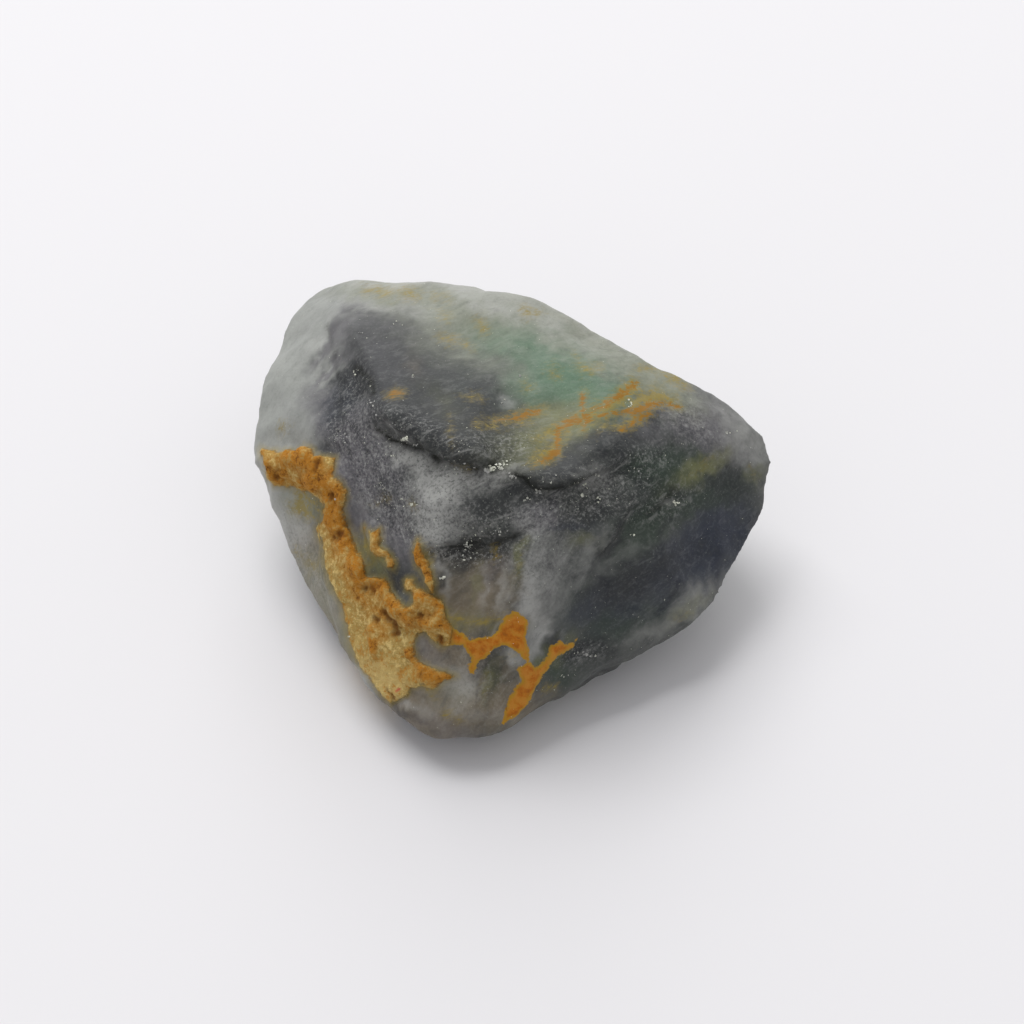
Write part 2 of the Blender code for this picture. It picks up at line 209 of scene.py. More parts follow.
VEINS = {
    "left_spot": [(-10.8, 10.2, 0.1), (-10.2, 10.4, 0.25), (-9.5, 10.4, 0.1)],
    "upper_streak": [(-1.4, 8.1, 0.1), (-0.2, 8.2, 0.2), (0.9, 8.4, 0.3), (1.9, 8.7, 0.3), (2.8, 9, 0.2)],
    "low_rise": [(1.7, 4.3, 0.1), (2.8, 4.5, 0.3), (3.6, 5, 0.3), (4.3, 5.6, 0.2)],
    "climb": [(3.9, 5.2, 0.3), (4, 6.2, 0.3), (4.1, 7.2, 0.3), (4.7, 7.7, 0.3), (5.6, 8.1, 0.3)],
    "middle": [(5.9, 7.9, 0.2), (6.6, 8.4, 0.3), (6.3, 7.2, 0.2)],
    "long_streak": [(7, 8.3, 0.1), (8.2, 8.6, 0.2), (9.4, 8.8, 0.2), (10.8, 8.8, 0.3), (12, 9.3, 0.3)],
    "streak_end": [(12, 9.3, 0.3), (13.2, 9.6, 0.2), (14.5, 9.2, 0.2)],
    "low_streak": [(9.4, 7.2, 0.1), (10.2, 7.5, 0.2), (11.4, 8.3, 0.2), (12.2, 8.6, 0.1)],
    "right_rise": [
        (7.2, 8.9, 0.2), (8.4, 9.6, 0.2), (9.5, 10.3, 0.3), (10.4, 10.9, 0.3), (10.9, 11.3, 0.1),
    ],
    "upright": [(6.2, 8.6, 0.1), (6.2, 9.6, 0.1), (6.2, 10.4, 0.2)],
    "nose_dot": [(-1.4, -3.3, -0.1), (-1.3, -3.9, 0)],
}
STAINS = {
    "left_rim": [(-12.6, 19.4, 0.5), (-11.2, 19.2, 0.5), (-9.2, 19.2, 0.7), (-8.3, 18.9, 0.6)],
    "middle_rim": [(-6.9, 18.9, 0.4), (-5.6, 18.8, 0.4)],
    "top_spots": [(-6.3, 17.5, 0.4), (-5.6, 17.1, 0.4)],
    "low_spots": [(-6.3, 15.3, 0.4), (-5.1, 15, 0.5), (-3.8, 14.4, 0.4)],
    "band_spots": [(-2.9, 16.9, 0.5), (-2.3, 16, 0.6)],
    "upper_right": [(1.2, 17.5, 0.6), (2.2, 17.4, 0.4)],
    "green_edge": [(3.4, 12.4, 0.6), (4, 12, 0.4)],
    "green_spot": [(1.1, 11.4, 0.4), (1.7, 10.9, 0.3)],
    "green_right": [(5.4, 13.8, 0.2), (6.1, 12.4, 0.5), (7.6, 12.6, 0.5)],
    "right_rim": [(11, 12.6, 0.4), (12.6, 12.5, 0.5), (14.2, 11.6, 0.7), (15.2, 11, 0.5)],
    "by_the_veins": [(10.6, 9.6, 0.8), (12.6, 10.2, 1), (14.2, 9.8, 0.6)],
    "veins_left": [(6.5, 8.2, 0.7), (8.8, 9.2, 0.8), (10.4, 10.9, 0.9)],
    "veins_low": [(7.6, 7.3, 0.4), (9.6, 7.6, 0.6), (11.4, 8.2, 0.5)],
    "under_streak": [(-3, 7.7, 0.5), (-1, 7.8, 0.4), (1.5, 8, 0.4)],
    "round_the_rise": [(2, 4.6, 0.6), (3.6, 5.6, 0.7), (4.3, 7, 0.7), (2.2, 6.4, 0.5)],
    "left_olive": [(-2.8, 10, 0.4), (-4.6, 10.2, 0.2)],
    "left_line": [(-5.4, 8.4, 0.1), (-5.4, 7.2, 0.2), (-5.3, 5.8, 0.1)],
    "facet_spot": [(-20, 7.4, 0.5), (-20.2, 7, 0.3)],
    "left_flank": [(-18.6, 0.6, 1), (-17.5, -0.4, 0.7)],
    "left_flank_low": [(-18.8, -3.4, 0.4), (-17.4, -4.8, 0.5)],
    "fracture_spot": [(-11.8, 0.7, 0.2), (-11.2, 1.2, 0.3)],
    "fracture_edge": [(-8.9, 0.8, 0.2), (-8.6, 0.4, 0.2)],
    "ledge_lip": [(-5, 4.1, 0.2), (-3.8, 3.7, 0.2)],
    "belly": [(-5.9, -17.6, 0.2), (-4.6, -18.2, 0.3)],
    "belly_middle": [(-2.3, -14.2, 0.1), (-2.6, -15.6, 0.1)],
    "under_web": [(-1, -12.2, 0.1), (0.2, -12.6, 0.3)],
    "belly_left": [(-6.9, -16.2, 0.4), (-7.2, -15.6, 0.3)],
    "belly_fleck": [(-2.6, -14.9, 0.2), (-2.4, -15.3, 0.2)],
    "under_band": [(-18.8, 1.6, 0.6), (-17.2, 0.8, 0.7), (-16.6, -0.6, 0.3)],
    "front": [(-5.6, -9.2, 0.4), (-2.4, -9.7, 0.5), (-0.8, -9, 0.3)],
    "nose": [(0.9, -2.6, 0), (0.8, -3.8, 0.1), (0.4, -5.6, 0)],
    "nose_dot": [(-1.5, -3.2, 0.1), (-1.3, -4, 0.1)],
    "finger_side": [(-12.9, -2.8, 0.4), (-12, -4.2, 0.4)],
    "finger_right": [(-7.4, -3.2, 0.4), (-7.2, -4.4, 0.3)],
    "right_patch": [(15.6, 3.2, 0), (16.4, 3.6, 0.1), (17.4, 4.8, 0)],
    "tip_spot": [(20.9, 3.9, 0), (21.2, 3.2, 0)],
    "right_foot": [(2.9, -15.6, 0.4), (3.8, -15.2, 0.3)],
    "right_edge": [(14.6, -9.2, 0.1), (15.4, -8.9, 0.1)],
}

# Where each tone lies, as ellipses on the chart.
TONES = {
    "frost_and_painted_highlight": {
        "left_facet": (-19.7, 13, 8, 2.8, 62, 1.6),
        "facet_foot": (-20.5, 7.3, 2.8, 2, 0, 2.2),
        # Painted highlights: narrow bright strokes on the crests of the left facet's ripples.
        "flute_low": (-17.2, 13.9, 1.3, 0.35, 56, 2.2),
        "flute_high": (-16.3, 15.8, 1.4, 0.35, 52, 2),
        "flute_inner": (-16.2, 13.3, 1.5, 0.28, 50, 2.2),
        "flute_last": (-15.9, 12.1, 1.3, 0.25, 48, 2),
        "facet_edge": (-16.2, 17.4, 1.6, 1, 50, 0.9),
    },
    "pale_green": {
        "upper_band": (-3.6, 17.6, 5.6, 2.4, -4, 1.8),
        "band_left": (-8.8, 18.9, 3, 1, 0, 1.4),
        "upper_slope": (4, 16.2, 5.4, 2, -26, 1.9),
        "right_slope": (10, 12.8, 5, 1.3, -28, 1.4),
        "slope_end": (14, 10.8, 2.4, 0.9, -34, 1.4),
        # Painted light: the thin top edge made paler where light shines through it.
        "left_rim": (-12, 19.6, 4.6, 0.9, -2, 2.4),
        "band_foot": (-6, 15, 2.4, 1.6, -10, 0.9),
        "by_the_veins": (4.2, 7.6, 3.2, 1.8, 10, 0.2),
        "band_middle": (-2, 17, 5, 1.2, -8, 0.8),
        "heart": (0.4, 12.4, 2, 1.6, 0, 0.9),
        "low_left": (-3.4, 12.6, 2, 1.2, 0, 0.3),
        "under_band": (-19.6, 1.5, 1.8, 0.7, -10, 1.6),
        "heart_left": (-0.4, 15.2, 1.8, 1, -10, 1),
    },
    "sea_green": {
        "heart": (1.2, 14, 2.4, 1.4, -20, 2.1),
        "heart_right": (5, 12, 2.8, 1.9, -30, 2.6),
        "right": (7.4, 10.4, 2.4, 1.7, -20, 2),
        "left": (-1.8, 15.4, 2.6, 1.2, -10, 0.8),
        "low": (2.6, 11, 2.6, 1.6, 0, 1.5),
    },
    "violet": {
        "shoulder": (-11.6, 15, 4.2, 3.2, 0, 0.55),
        "facet_side": (-15.2, 15.4, 2.4, 0.9, 72, 1),
        "facet_low": (-17.2, 9.4, 1.9, 1.3, 30, 1.3),
        "notch_foot": (-15.8, 7.2, 1.8, 0.8, -20, 0.9),
        "left_fracture": (-13.4, 4.4, 3.4, 2.2, -66, 1.6),
        "fracture_edge": (-14.2, 1, 3, 1, -72, 1.6),
        "fracture_low": (-10.6, -0.8, 2.6, 1.4, -66, 0.8),
        "finger_gap": (-9.6, -2.8, 1.8, 1, -60, 0.4),
        "haze_right": (2.2, -0.6, 1.5, 0.9, 0, 0.9),
        "upper_right": (16.6, 8.2, 2.8, 1.6, -40, 1.1),
        "right": (12, 6.6, 2.4, 1.2, -30, 0.4),
        "foot": (-7.6, -18.2, 2.4, 0.8, -28, 0.7),
        "notch_inside": (-13.2, 8.8, 1.4, 0.8, 40, 0.5),
        "under_nose": (-1.6, -5.4, 1.6, 0.8, 60, 0.5),
        "belly_foot": (-7, -18.4, 3.4, 0.7, -20, 0.8),
        "inner_gap": (-6.8, -12.2, 1.4, 0.8, -30, 1.2),
        # Painted shade in the troughs between the left facet's ripples.
        "flute_gap": (-16.3, 14.3, 1.9, 0.3, 54, 2.4),
        "flute_gap_low": (-16.2, 12.5, 1.5, 0.22, 50, 2),
    },
    "haze_and_painted_light": {
        "haze_core": (-6.7, 0.9, 1.2, 1, 20, 2.4),
        "haze": (-6.4, 1.6, 2.3, 1.6, 30, 0.8),
        "haze_top": (-3.8, 3, 3, 0.6, 8, 1.1),
        "haze_left": (-8.4, 4.4, 2.2, 0.8, -28, 1),
        "haze_foot": (-6.6, -1.4, 2.2, 1.2, 0, 0.6),
        "nose": (1.6, -7, 3.4, 0.6, 84, 0.9),
        "nose_foot": (2.1, -10.4, 2.2, 0.5, 82, 0.5),
        "fan": (3.6, -5.4, 3.4, 1.8, 66, 0.18),
        "fan_low": (3.2, -8.6, 2.4, 1, 70, 0.12),
        "streak": (7.6, -2.8, 4.4, 0.6, 57, 0.15),
        "right_grain": (7.2, 2.6, 1, 0.8, 0, 0.35),
        "tip": (20.2, 6.2, 2.8, 1.5, -55, 0.5),
        "shoulder_top": (-12, 18.2, 3, 0.6, -4, 0.4),
        "crystal": (14.2, 0.8, 0.35, 0.35, 0, 1),
        "dots": (-0.8, 9.6, 0.7, 0.35, -30, 0.5),
        # Painted light: the left flank made paler where light from the left falls on it.
        "flank_rim": (-20.3, 0.6, 3.8, 1.6, -74, 2.9),
        "flank_foot": (-13.4, -14.8, 2.6, 0.7, -50, 1.5),
        "right_rim": (16.6, -7.2, 2.8, 1.3, 38, 0.22),
        "low_rim": (13, -9.9, 3.4, 0.9, 26, 0.12),
        "belly": (-6.4, -14.2, 1.8, 1.6, -30, 0.9),
        "low_ridge": (-6.2, -5.6, 2, 0.3, -80, 0.5),
        # Painted light on the left flank, from the left, in these two.
        "flank_mid": (-18.6, -3.6, 3.2, 1, -64, 0.9),
        "flank_low": (-15.6, -8.6, 3.8, 0.9, -60, 0.8),
        # Painted light: the thin top edge made paler where light shines through it.
        "upper_rim": (1.6, 17.6, 6, 1.2, -20, 3),
        # Painted light on the left edge of the stone beside the crust, from the left.
        "band_edge": (-21.8, 3, 3, 0.8, -80, 1.6),
        # Painted light: the thin top edge made paler where light shines through it.
        "left_top_rim": (-9.5, 20, 6.5, 0.9, -3, 3.4),
        "inner_gap": (-6.6, -12.6, 1.5, 0.3, -40, 0.5),
        "belly_swirl": (-4.8, -15.8, 1.6, 1.3, 0, 1.8),
        "belly_fold": (-8.4, -16.7, 2, 0.3, -44, 1.6),
        "under_web": (-0.3, -12.1, 0.9, 0.4, -20, 0.7),
        "band_left": (-9.6, 17.9, 3, 0.7, -4, 0.8),
        "notch_foot": (-11.6, 6.8, 1, 0.7, 0, 1),
        "fracture_edge": (-13, 1, 1.2, 0.5, -70, 0.5),
        "middle": (1.4, -1.3, 1, 0.7, 0, 0.5),
        "right_streak": (9.4, -4.2, 2.6, 0.7, 40, 0.12),
        "belly_low": (-4.4, -17.6, 3, 0.6, -10, 0.8),
        "under_nose": (-2.4, -6.8, 2.2, 0.35, 84, 0.45),
        "under_nose_right": (-0.4, -6.6, 2.6, 0.35, 80, 0.4),
        # Painted highlight on a crest of the left facet's ripples.
        "flute": (-17, 14.9, 2.2, 0.35, 54, 1.2),
    },
    "night": {
        "shoulder": (-11.4, 14.4, 3.2, 2.4, 0, 2),
        "shoulder_low": (-11.8, 11.8, 2.4, 1.8, 0, 1.7),
        "notch": (-14.5, 10, 2.5, 1, 74, 2.4),
        "left_blue": (-7.6, 12.8, 1.8, 2, 0, 1.8),
        "dark_centre": (-6, 9.4, 4.4, 2.6, -30, 1.9),
        "centre_right": (-3.4, 11.4, 2.8, 1.4, 10, 0.9),
        "ledge_top": (-9.2, 7.4, 2.6, 1.2, -28, 1.4),
        "ledge_top_right": (-5.4, 6.4, 2.6, 1.1, -20, 1.5),
        "ridge": (8.2, 5.8, 3.2, 1.2, 16, 1.8),
        "above_right_ledge": (4.4, 3.3, 3, 0.8, 12, 1.4),
        "under_ledge": (-2.2, 0.2, 2.6, 1.3, 15, 0.7),
        "under_ledge_right": (0.8, 1.9, 1.4, 0.8, 0, 0.4),
        "glitter_band": (-3.8, -3.7, 2.4, 0.8, 5, 2),
        "low_middle": (-4.8, -4.9, 1.4, 0.8, 0, 0.8),
        "fracture": (-11.6, 3, 2, 0.5, -62, 0.9),
        "band_corner": (-16, 5.6, 0.9, 0.6, 0, 2),
        "gap": (-9.8, -5.6, 1.8, 0.8, -66, 0.9),
        "finger_right": (-6.5, -6.4, 0.8, 0.4, 70, 1.2),
        "right_band": (9.6, 0.2, 4.2, 1, 20, 0.8),
        "right_deep": (12.6, -4.8, 5.4, 0.9, 20, 1.5),
        "right_middle": (9.4, -6.8, 3.4, 1.2, 32, 0.5),
        "fold": (9.4, -1.4, 2.8, 0.4, 60, 1.8),
        "heel": (6.8, -12.2, 2.2, 1, 10, 0.5),
        "right_edge": (18.8, 2.2, 2.2, 1.4, 20, 1.2),
        "far_crack": (14.6, 1.6, 1.6, 0.4, 30, 1),
        "below_streak": (-1.4, 7.2, 3.2, 1.4, -6, 0.5),
        "facet_low": (-16.6, 8.8, 1.6, 1.2, 0, 0.4),
        "haze_low": (-8.8, -0.8, 1.2, 0.7, -60, 0.2),
        "under_nose": (-4.6, -6.8, 1.8, 0.8, -70, 0.5),
        "belly_dark": (-1.9, -14.2, 1.9, 0.8, 74, 1.8),
        "belly_line": (-3.3, -15.6, 1.9, 0.22, 88, 1.6),
        "belly_fold": (-9, -17.3, 2, 0.28, -44, 2.2),
        "belly_foot": (-2.2, -18, 1.4, 0.6, 20, 0.3),
        "fan_right": (4.8, -6.4, 3.4, 1.2, 64, 0.12),
        "fleck_shadow": (3.6, 6.4, 2.6, 0.5, 60, 0.4),
        "under_nose_stroke": (-1.2, -7, 2.2, 0.35, 82, 0.35),
        # Painted shade in a trough between the left facet's ripples.
        "flute_gap": (-16.2, 14.3, 1.7, 0.25, 54, 0.7),
        "left_of_green": (-4.6, 13.4, 1.4, 1, 0, 0.6),
    },
    "deep_green": {
        "right_green": (13.4, 3.8, 2.2, 1.6, 10, 2),
        "right_green_low": (17.4, 1.6, 2.6, 1.3, 20, 1),
        "middle": (12, -0.2, 3, 1.3, 20, 1),
        "middle_low": (10.4, -3.2, 2.6, 1, 40, 0.3),
        "low": (9.6, -9.6, 3.8, 1.2, 20, 0.4),
        "centre": (-5.2, 11, 2, 1.4, 0, 0.5),
        "top_green": (0.2, 12.9, 1.4, 0.8, 0, 0.9),
        "heel": (3.8, -13.6, 1.2, 1.4, 40, 0.4),
        "fan_right": (4.8, -7.4, 3.2, 1.4, 60, 0.12),
    },
    "blue": {
        "right": (17.6, -2.6, 3, 1.8, 50, 1.8),
        "right_deep": (14.6, -4.2, 4.4, 1.3, 26, 0.8),
        "low": (10, -8.4, 4.6, 1.4, 22, 0.3),
        "fold": (6.6, -8, 2.4, 1, 40, 0.4),
        "under_haze": (5.4, -1.6, 2, 0.4, 0, 0.6),
        "notch": (-15, 9.6, 2.2, 1, 66, 1.4),
    },
    "olive": {
        "right_patch": (16.2, 3.8, 2.2, 0.7, 34, 1.5),
        "tip": (21.2, 3.2, 0.8, 0.6, 0, 0.5),
        "rim_low": (15.6, -8.4, 1.6, 0.5, 34, 0.4),
        "middle": (6.4, -2.6, 1.2, 0.7, 0, 0.25),
        "nose": (0.7, -3.6, 1.6, 0.4, 85, 0.5),
        "band": (-2.4, 16.6, 1.4, 1, 0, 0.5),
        "upper_left": (-6, 9.6, 2.4, 1.2, -50, 0.3),
        "by_the_veins": (3.4, 7.4, 4, 1.9, 20, 1.2),
        "slope_end": (13.4, 10.4, 2.6, 0.8, -30, 0.8),
        "left_flank": (-18.6, 0.6, 1.6, 1, 0, 0.8),
        "flank_low": (-17, -5.4, 2.6, 1.2, -60, 0.7),
        "left_rim": (-9.6, 19.2, 3.2, 0.5, -2, 0.8),
        "belly": (-5.6, -15.6, 2, 1.2, -40, 0.8),
        "finger": (-12.4, -3.6, 0.8, 1.2, 30, 0.8),
        "belly_right": (-1.6, -14.6, 1.6, 0.5, 70, 0.6),
        "belly_stroke": (-2.2, -14.9, 1.4, 0.3, 74, 1.8),
        "front": (-4.2, -9.6, 3, 0.8, -4, 0.8),
        "flank_rim": (-15.3, -9.6, 2.8, 0.6, -58, 0.9),
        "heel": (3.4, -12.4, 1.6, 0.8, 40, 0.6),
        "under_nose": (-3.2, -6.6, 2, 0.3, 80, 0.6),
        # Painted light: a thin yellowish glow along the top right edge, where light shines through it.
        "upper_rim": (3.4, 17, 6, 0.7, -24, 0.7),
    },
    "mauve": {
        "flank": (-17.6, -4.4, 3.4, 1.6, -64, 1),
        "flank_low": (-15.6, -9.4, 3, 1.2, -60, 1.1),
        "under_nose": (-3.2, -6.9, 2.8, 2.3, 0, 1.2),
        "front": (-3.6, -9.4, 2.8, 1.2, 0, 1),
        "belly": (-3.4, -17, 3.8, 1.8, 0, 1.8),
        "belly_left": (-6.6, -16.2, 2.4, 2, -30, 1.6),
        "foot": (-8, -18, 2.6, 1, -30, 1.2),
        "inner_gap": (-5.8, -12.6, 1.9, 1.1, -20, 2.6),
        "inner_right": (-1, -13.2, 1.4, 1.2, 0, 0.3),
        "brown_spot": (-8.6, 13, 0.7, 1.4, 0, 0.4),
    },
}
SLATE_WEIGHT = 0.3
# On the sides that the chart doesn't reach: wavelength, and the noise that a tone starts and is
# full at.
HIDDEN_TONES = {
    "frost_and_painted_highlight": (15, 0.05, 0.7),
    "pale_green": (11, 0, 0.4),
    "sea_green": (8, 0.15, 0.5),
    "violet": (12, 0, 0.4),
    "haze_and_painted_light": (6, 0.2, 0.95),
    "night": (9, 0, 0.4),
    "deep_green": (10, 0.05, 0.45),
    "blue": (9, 0.15, 0.5),
    "olive": (7, 0.3, 0.6),
    "mauve": (13, 0.05, 0.7),
}
# Wavelength and reach of the noise that bends the tones, and wavelength and depth of the noise
# that breaks them up.
TONE_WARP = ((6, 0.6), (2.2, 0.5), (0.8, 0.45))
TONE_MOTTLE = ((2, 0.35), (0.9, 0.3))

# Where the surface is a grainy fracture instead of worn smooth.
BROKEN = {
    "left_fracture": (-12.2, 3.8, 4.4, 2.4, -64, 0.8),
    "fracture_low": (-9.8, 0, 2.8, 1.6, -60, 0.7),
    "notch": (-14, 10.8, 2.6, 1.8, 65, 0.35),
    "notch_foot": (-14.3, 7, 1.8, 1.3, 0, 0.8),
    "ledge_top": (-8.5, 7.2, 3.4, 1.3, -30, 0.8),
    "ledge_foot": (-4.8, 4, 5, 1.4, -12, 0.7),
    "haze": (-5.6, 0.6, 3.4, 2.4, 0, 0.5),
    "glitter_band": (-3.7, -3.2, 3, 1.2, 5, 0.9),
    "middle": (-1.4, -1.2, 3.6, 1.2, 10, 0.6),
    "under_right_ledge": (6.4, 1.4, 4.2, 1.8, 10, 0.9),
    "above_right": (11.6, 4.6, 2.6, 1.6, 10, 0.5),
    "upper_right": (15.6, 7.6, 3, 1.6, -36, 0.4),
    "right": (13.6, 0.8, 3.6, 1.6, 20, 0.35),
    "front": (2.6, -4, 5, 3.6, 40, 0.3),
    "heel": (6, -12.4, 2.6, 1.1, 14, 0.45),
    "belly": (-4, -15.2, 4.6, 3.4, -20, 0.2),
    "flank": (-17.6, -4.6, 5, 1.8, -62, 0.3),
    "under_streak": (-1, 6, 3.6, 1.6, 0, 0.4),
}
# How the grain runs in each part: the chart direction that it climbs in degrees, its stretch and
# its wavelength. RUNS says where the other runs take over from the first.
STREAKS = {
    "everywhere": (28, 3.5, 0.7),
    "left_run": (-64, 4, 0.6),
    "front_run": (66, 4, 0.95),
}
RUNS = {
    "left_run": {
        "left_fracture": (-12.6, 2, 7, 3, -64, 1.6),
        "flank": (-17, -5, 8, 2.6, -62, 1.6),
    },
    "front_run": {
        "fan": (3.4, -6, 5, 3.4, 66, 1.6),
        "belly": (-3.4, -14.4, 6, 5, 0, 1.6),
        "facet": (-18.6, 14, 7, 2.6, 60, 0.6),
    },
}
# Where the crust is rusty all over, and below zero where it is pale.
RUSTY = {
    "band": (-18.6, 3.9, 3.2, 1.6, -6, 0.75),
    "neck": (-15.4, 0.8, 2.8, 1, -80, 0.7),
    "shoulder": (-14.4, -3, 2.4, 1.2, -66, 0.8),
    "arch": (-12.2, -6.6, 2, 1.2, -10, 0.5),
    "middle": (-10.8, -8.8, 1.8, 1.2, -40, 0.6),
    "lobe": (-7.4, -9, 2, 2.2, 0, 0.35),
    "column": (-11.6, -11.4, 0.9, 1.6, 0, 0.3),
    "foot": (-7.2, -14.3, 2, 0.8, -20, 0.7),
    "fingers": (-9.6, -3.8, 3.4, 2.4, 0, 0.6),
    "body_left": (-14.8, -8.6, 4.6, 1, -66, -0.3),
    "bottom": (-11, -14.6, 2.6, 1.8, -40, -1),
    "saddle": (-9, -11.2, 0.7, 1, 0, -0.8),
    "body": (-13, -7.6, 3.6, 1, -60, 0.25),
}

# Clusters of crystal grains on the chart: right, up, spread, number and share of the full size.
CLUSTERS = {
    "ledge_bright": (-2.05, 3.75, 0.3, 20, 1),
    "ledge_bright_right": (-1.1, 4, 0.45, 16, 0.8),
    "ledge_foot": (-0.1, 3.2, 0.4, 9, 0.8),
    "ledge_top": (-0.5, 4.4, 0.4, 5, 0.55),
    "ledge_yellow": (-4.3, 3.9, 0.6, 7, 0.55),
    "right_ledge_left": (2.3, 1.9, 0.25, 7, 0.9),
    "right_ledge_foot": (1.5, 1, 0.5, 5, 0.55),
    "right_ledge": (4, 2.6, 0.7, 6, 0.55),
    "right_ledge_end": (6.2, 2.4, 0.4, 5, 0.55),
    "right_ledge_spot": (6.15, 1.5, 0.12, 4, 1),
    "right_ledge_tip": (7.4, 3.3, 0.3, 4, 0.55),
    "below_right_ledge": (7.3, 1.1, 0.5, 5, 0.55),
    "left_ledge": (-9.3, 6.4, 0.3, 12, 0.8),
    "left_ledge_foot": (-8.6, 5.8, 0.5, 5, 0.55),
    "above_left_ledge": (-9.6, 7.6, 0.9, 5, 0.55),
    "glitter_band": (-3.8, -2.9, 0.5, 12, 0.7),
    "glitter_low": (-3.9, -3.6, 0.9, 8, 0.55),
    "glitter_middle": (-1.3, -1.7, 0.6, 7, 0.55),
    "haze_left": (-8.7, 0.7, 0.4, 6, 0.7),
    "fracture_pocket": (-11.4, 0.9, 0.5, 6, 0.55),
    "fracture_top": (-10.4, 5.2, 0.9, 7, 0.55),
    "fracture_low": (-6.1, -5.8, 0.2, 4, 0.8),
    "notch": (-13.8, 12.2, 0.25, 4, 0.55),
    "notch_right": (-12.3, 9.6, 0.5, 5, 0.55),
    "notch_foot": (-11.9, 8.5, 0.2, 2, 0.55),
    "notch_pocket": (-14.6, 6.7, 0.6, 7, 0.55),
    "shoulder": (-13.3, 15.7, 0.25, 3, 0.55),
    "shoulder_right": (-10.2, 16.5, 0.4, 3, 0.55),
    "centre_left": (-8.5, 11.9, 0.4, 3, 0.55),
    "far_left_spot": (-9.4, 9.8, 0.15, 1, 0.55),
    "white_dots": (-1, 9.5, 0.5, 3, 0.55),
    "green_dot": (0.7, 11.9, 0.08, 2, 0.9),
    "upper_dots": (9, 13.5, 1.4, 3, 0.55),
    "vein_dots": (10.3, 9.2, 0.8, 6, 0.55),
    "right_dots": (18.9, 7, 0.6, 5, 0.55),
    "tip_dots": (20.9, 5.5, 0.3, 2, 0.55),
    "right_above": (10.5, 3.5, 0.9, 5, 0.55),
    "crystal": (14.25, 0.85, 0.3, 9, 0.9),
    "front_right": (10.6, -2.2, 0.6, 2, 0.55),
    "heel": (6.3, -12.4, 0.7, 9, 0.7),
    "neck_dot": (-15.45, 1.1, 0.08, 2, 0.7),
    "flank_dot": (-14.2, -10.9, 0.12, 3, 0.6),
    "heel_left": (4.5, -14.4, 0.4, 4, 0.55),
}
CRYSTAL_SEED = 8


def named_colour(name, description, default):
    return bpy.props.FloatVectorProperty(
        name=name, description=description, default=default, subtype="COLOR", size=3, min=0.0, max=1.0
    )


def named_length(name, description, default):
    """A length whose default is in millimetres."""
    return bpy.props.FloatProperty(
        name=name,
        description=description,
        default=default * MM,
        subtype="DISTANCE",
        unit="LENGTH",
        precision=5,
    )


def named_place(name, description, default):
    return bpy.props.FloatVectorProperty(
        name=name, description=description, default=default, subtype="TRANSLATION"
    )


def named_amount(name, description, default):
    return bpy.props.FloatProperty(name=name, description=description, default=default)


class StoneSizes(bpy.types.PropertyGroup):
    """Sizes of the stone's fine detail"""

    mesh_spacing: named_length("Mesh Spacing", "Size of the faces of the fine mesh", 0.25)
    worn_passes: bpy.props.IntProperty(
        name="Worn Passes", description="Smoothing passes", default=14, min=0
    )
    crust_rise: named_length("Crust Rise", "How far the crust stands up", 0.18)
    coating_rise: named_length("Coating Rise", "Thickness of the smooth coating", 0.07)
    ridge_height: named_length("Ridge Height", "How far the crust's rust-red lines stand up", 0.32)
    hollow_depth: named_length("Hollow Depth", "Depth of the brown pits", 0.25)
    crumb_height: named_length("Crumb Height", "Unevenness of the crust", 0.12)
    flute_height: named_length("Flute Height", "Height of the ripples on the left facet", 0.1)
    groove_depth: named_length("Groove Depth", "Depth of the grooves in the left fracture", 0.12)
    broken_relief: named_length("Broken Relief", "Unevenness of the grainy fractures", 0.14)
    skin_relief: named_length("Skin Relief", "Unevenness of the worn skin", 0.08)
    grain_relief: named_length("Grain Relief", "Height of the grain that shading alone shows", 0.06)
    crystal_size: named_length("Crystal Size", "Size of the largest crystal grains", 0.3)


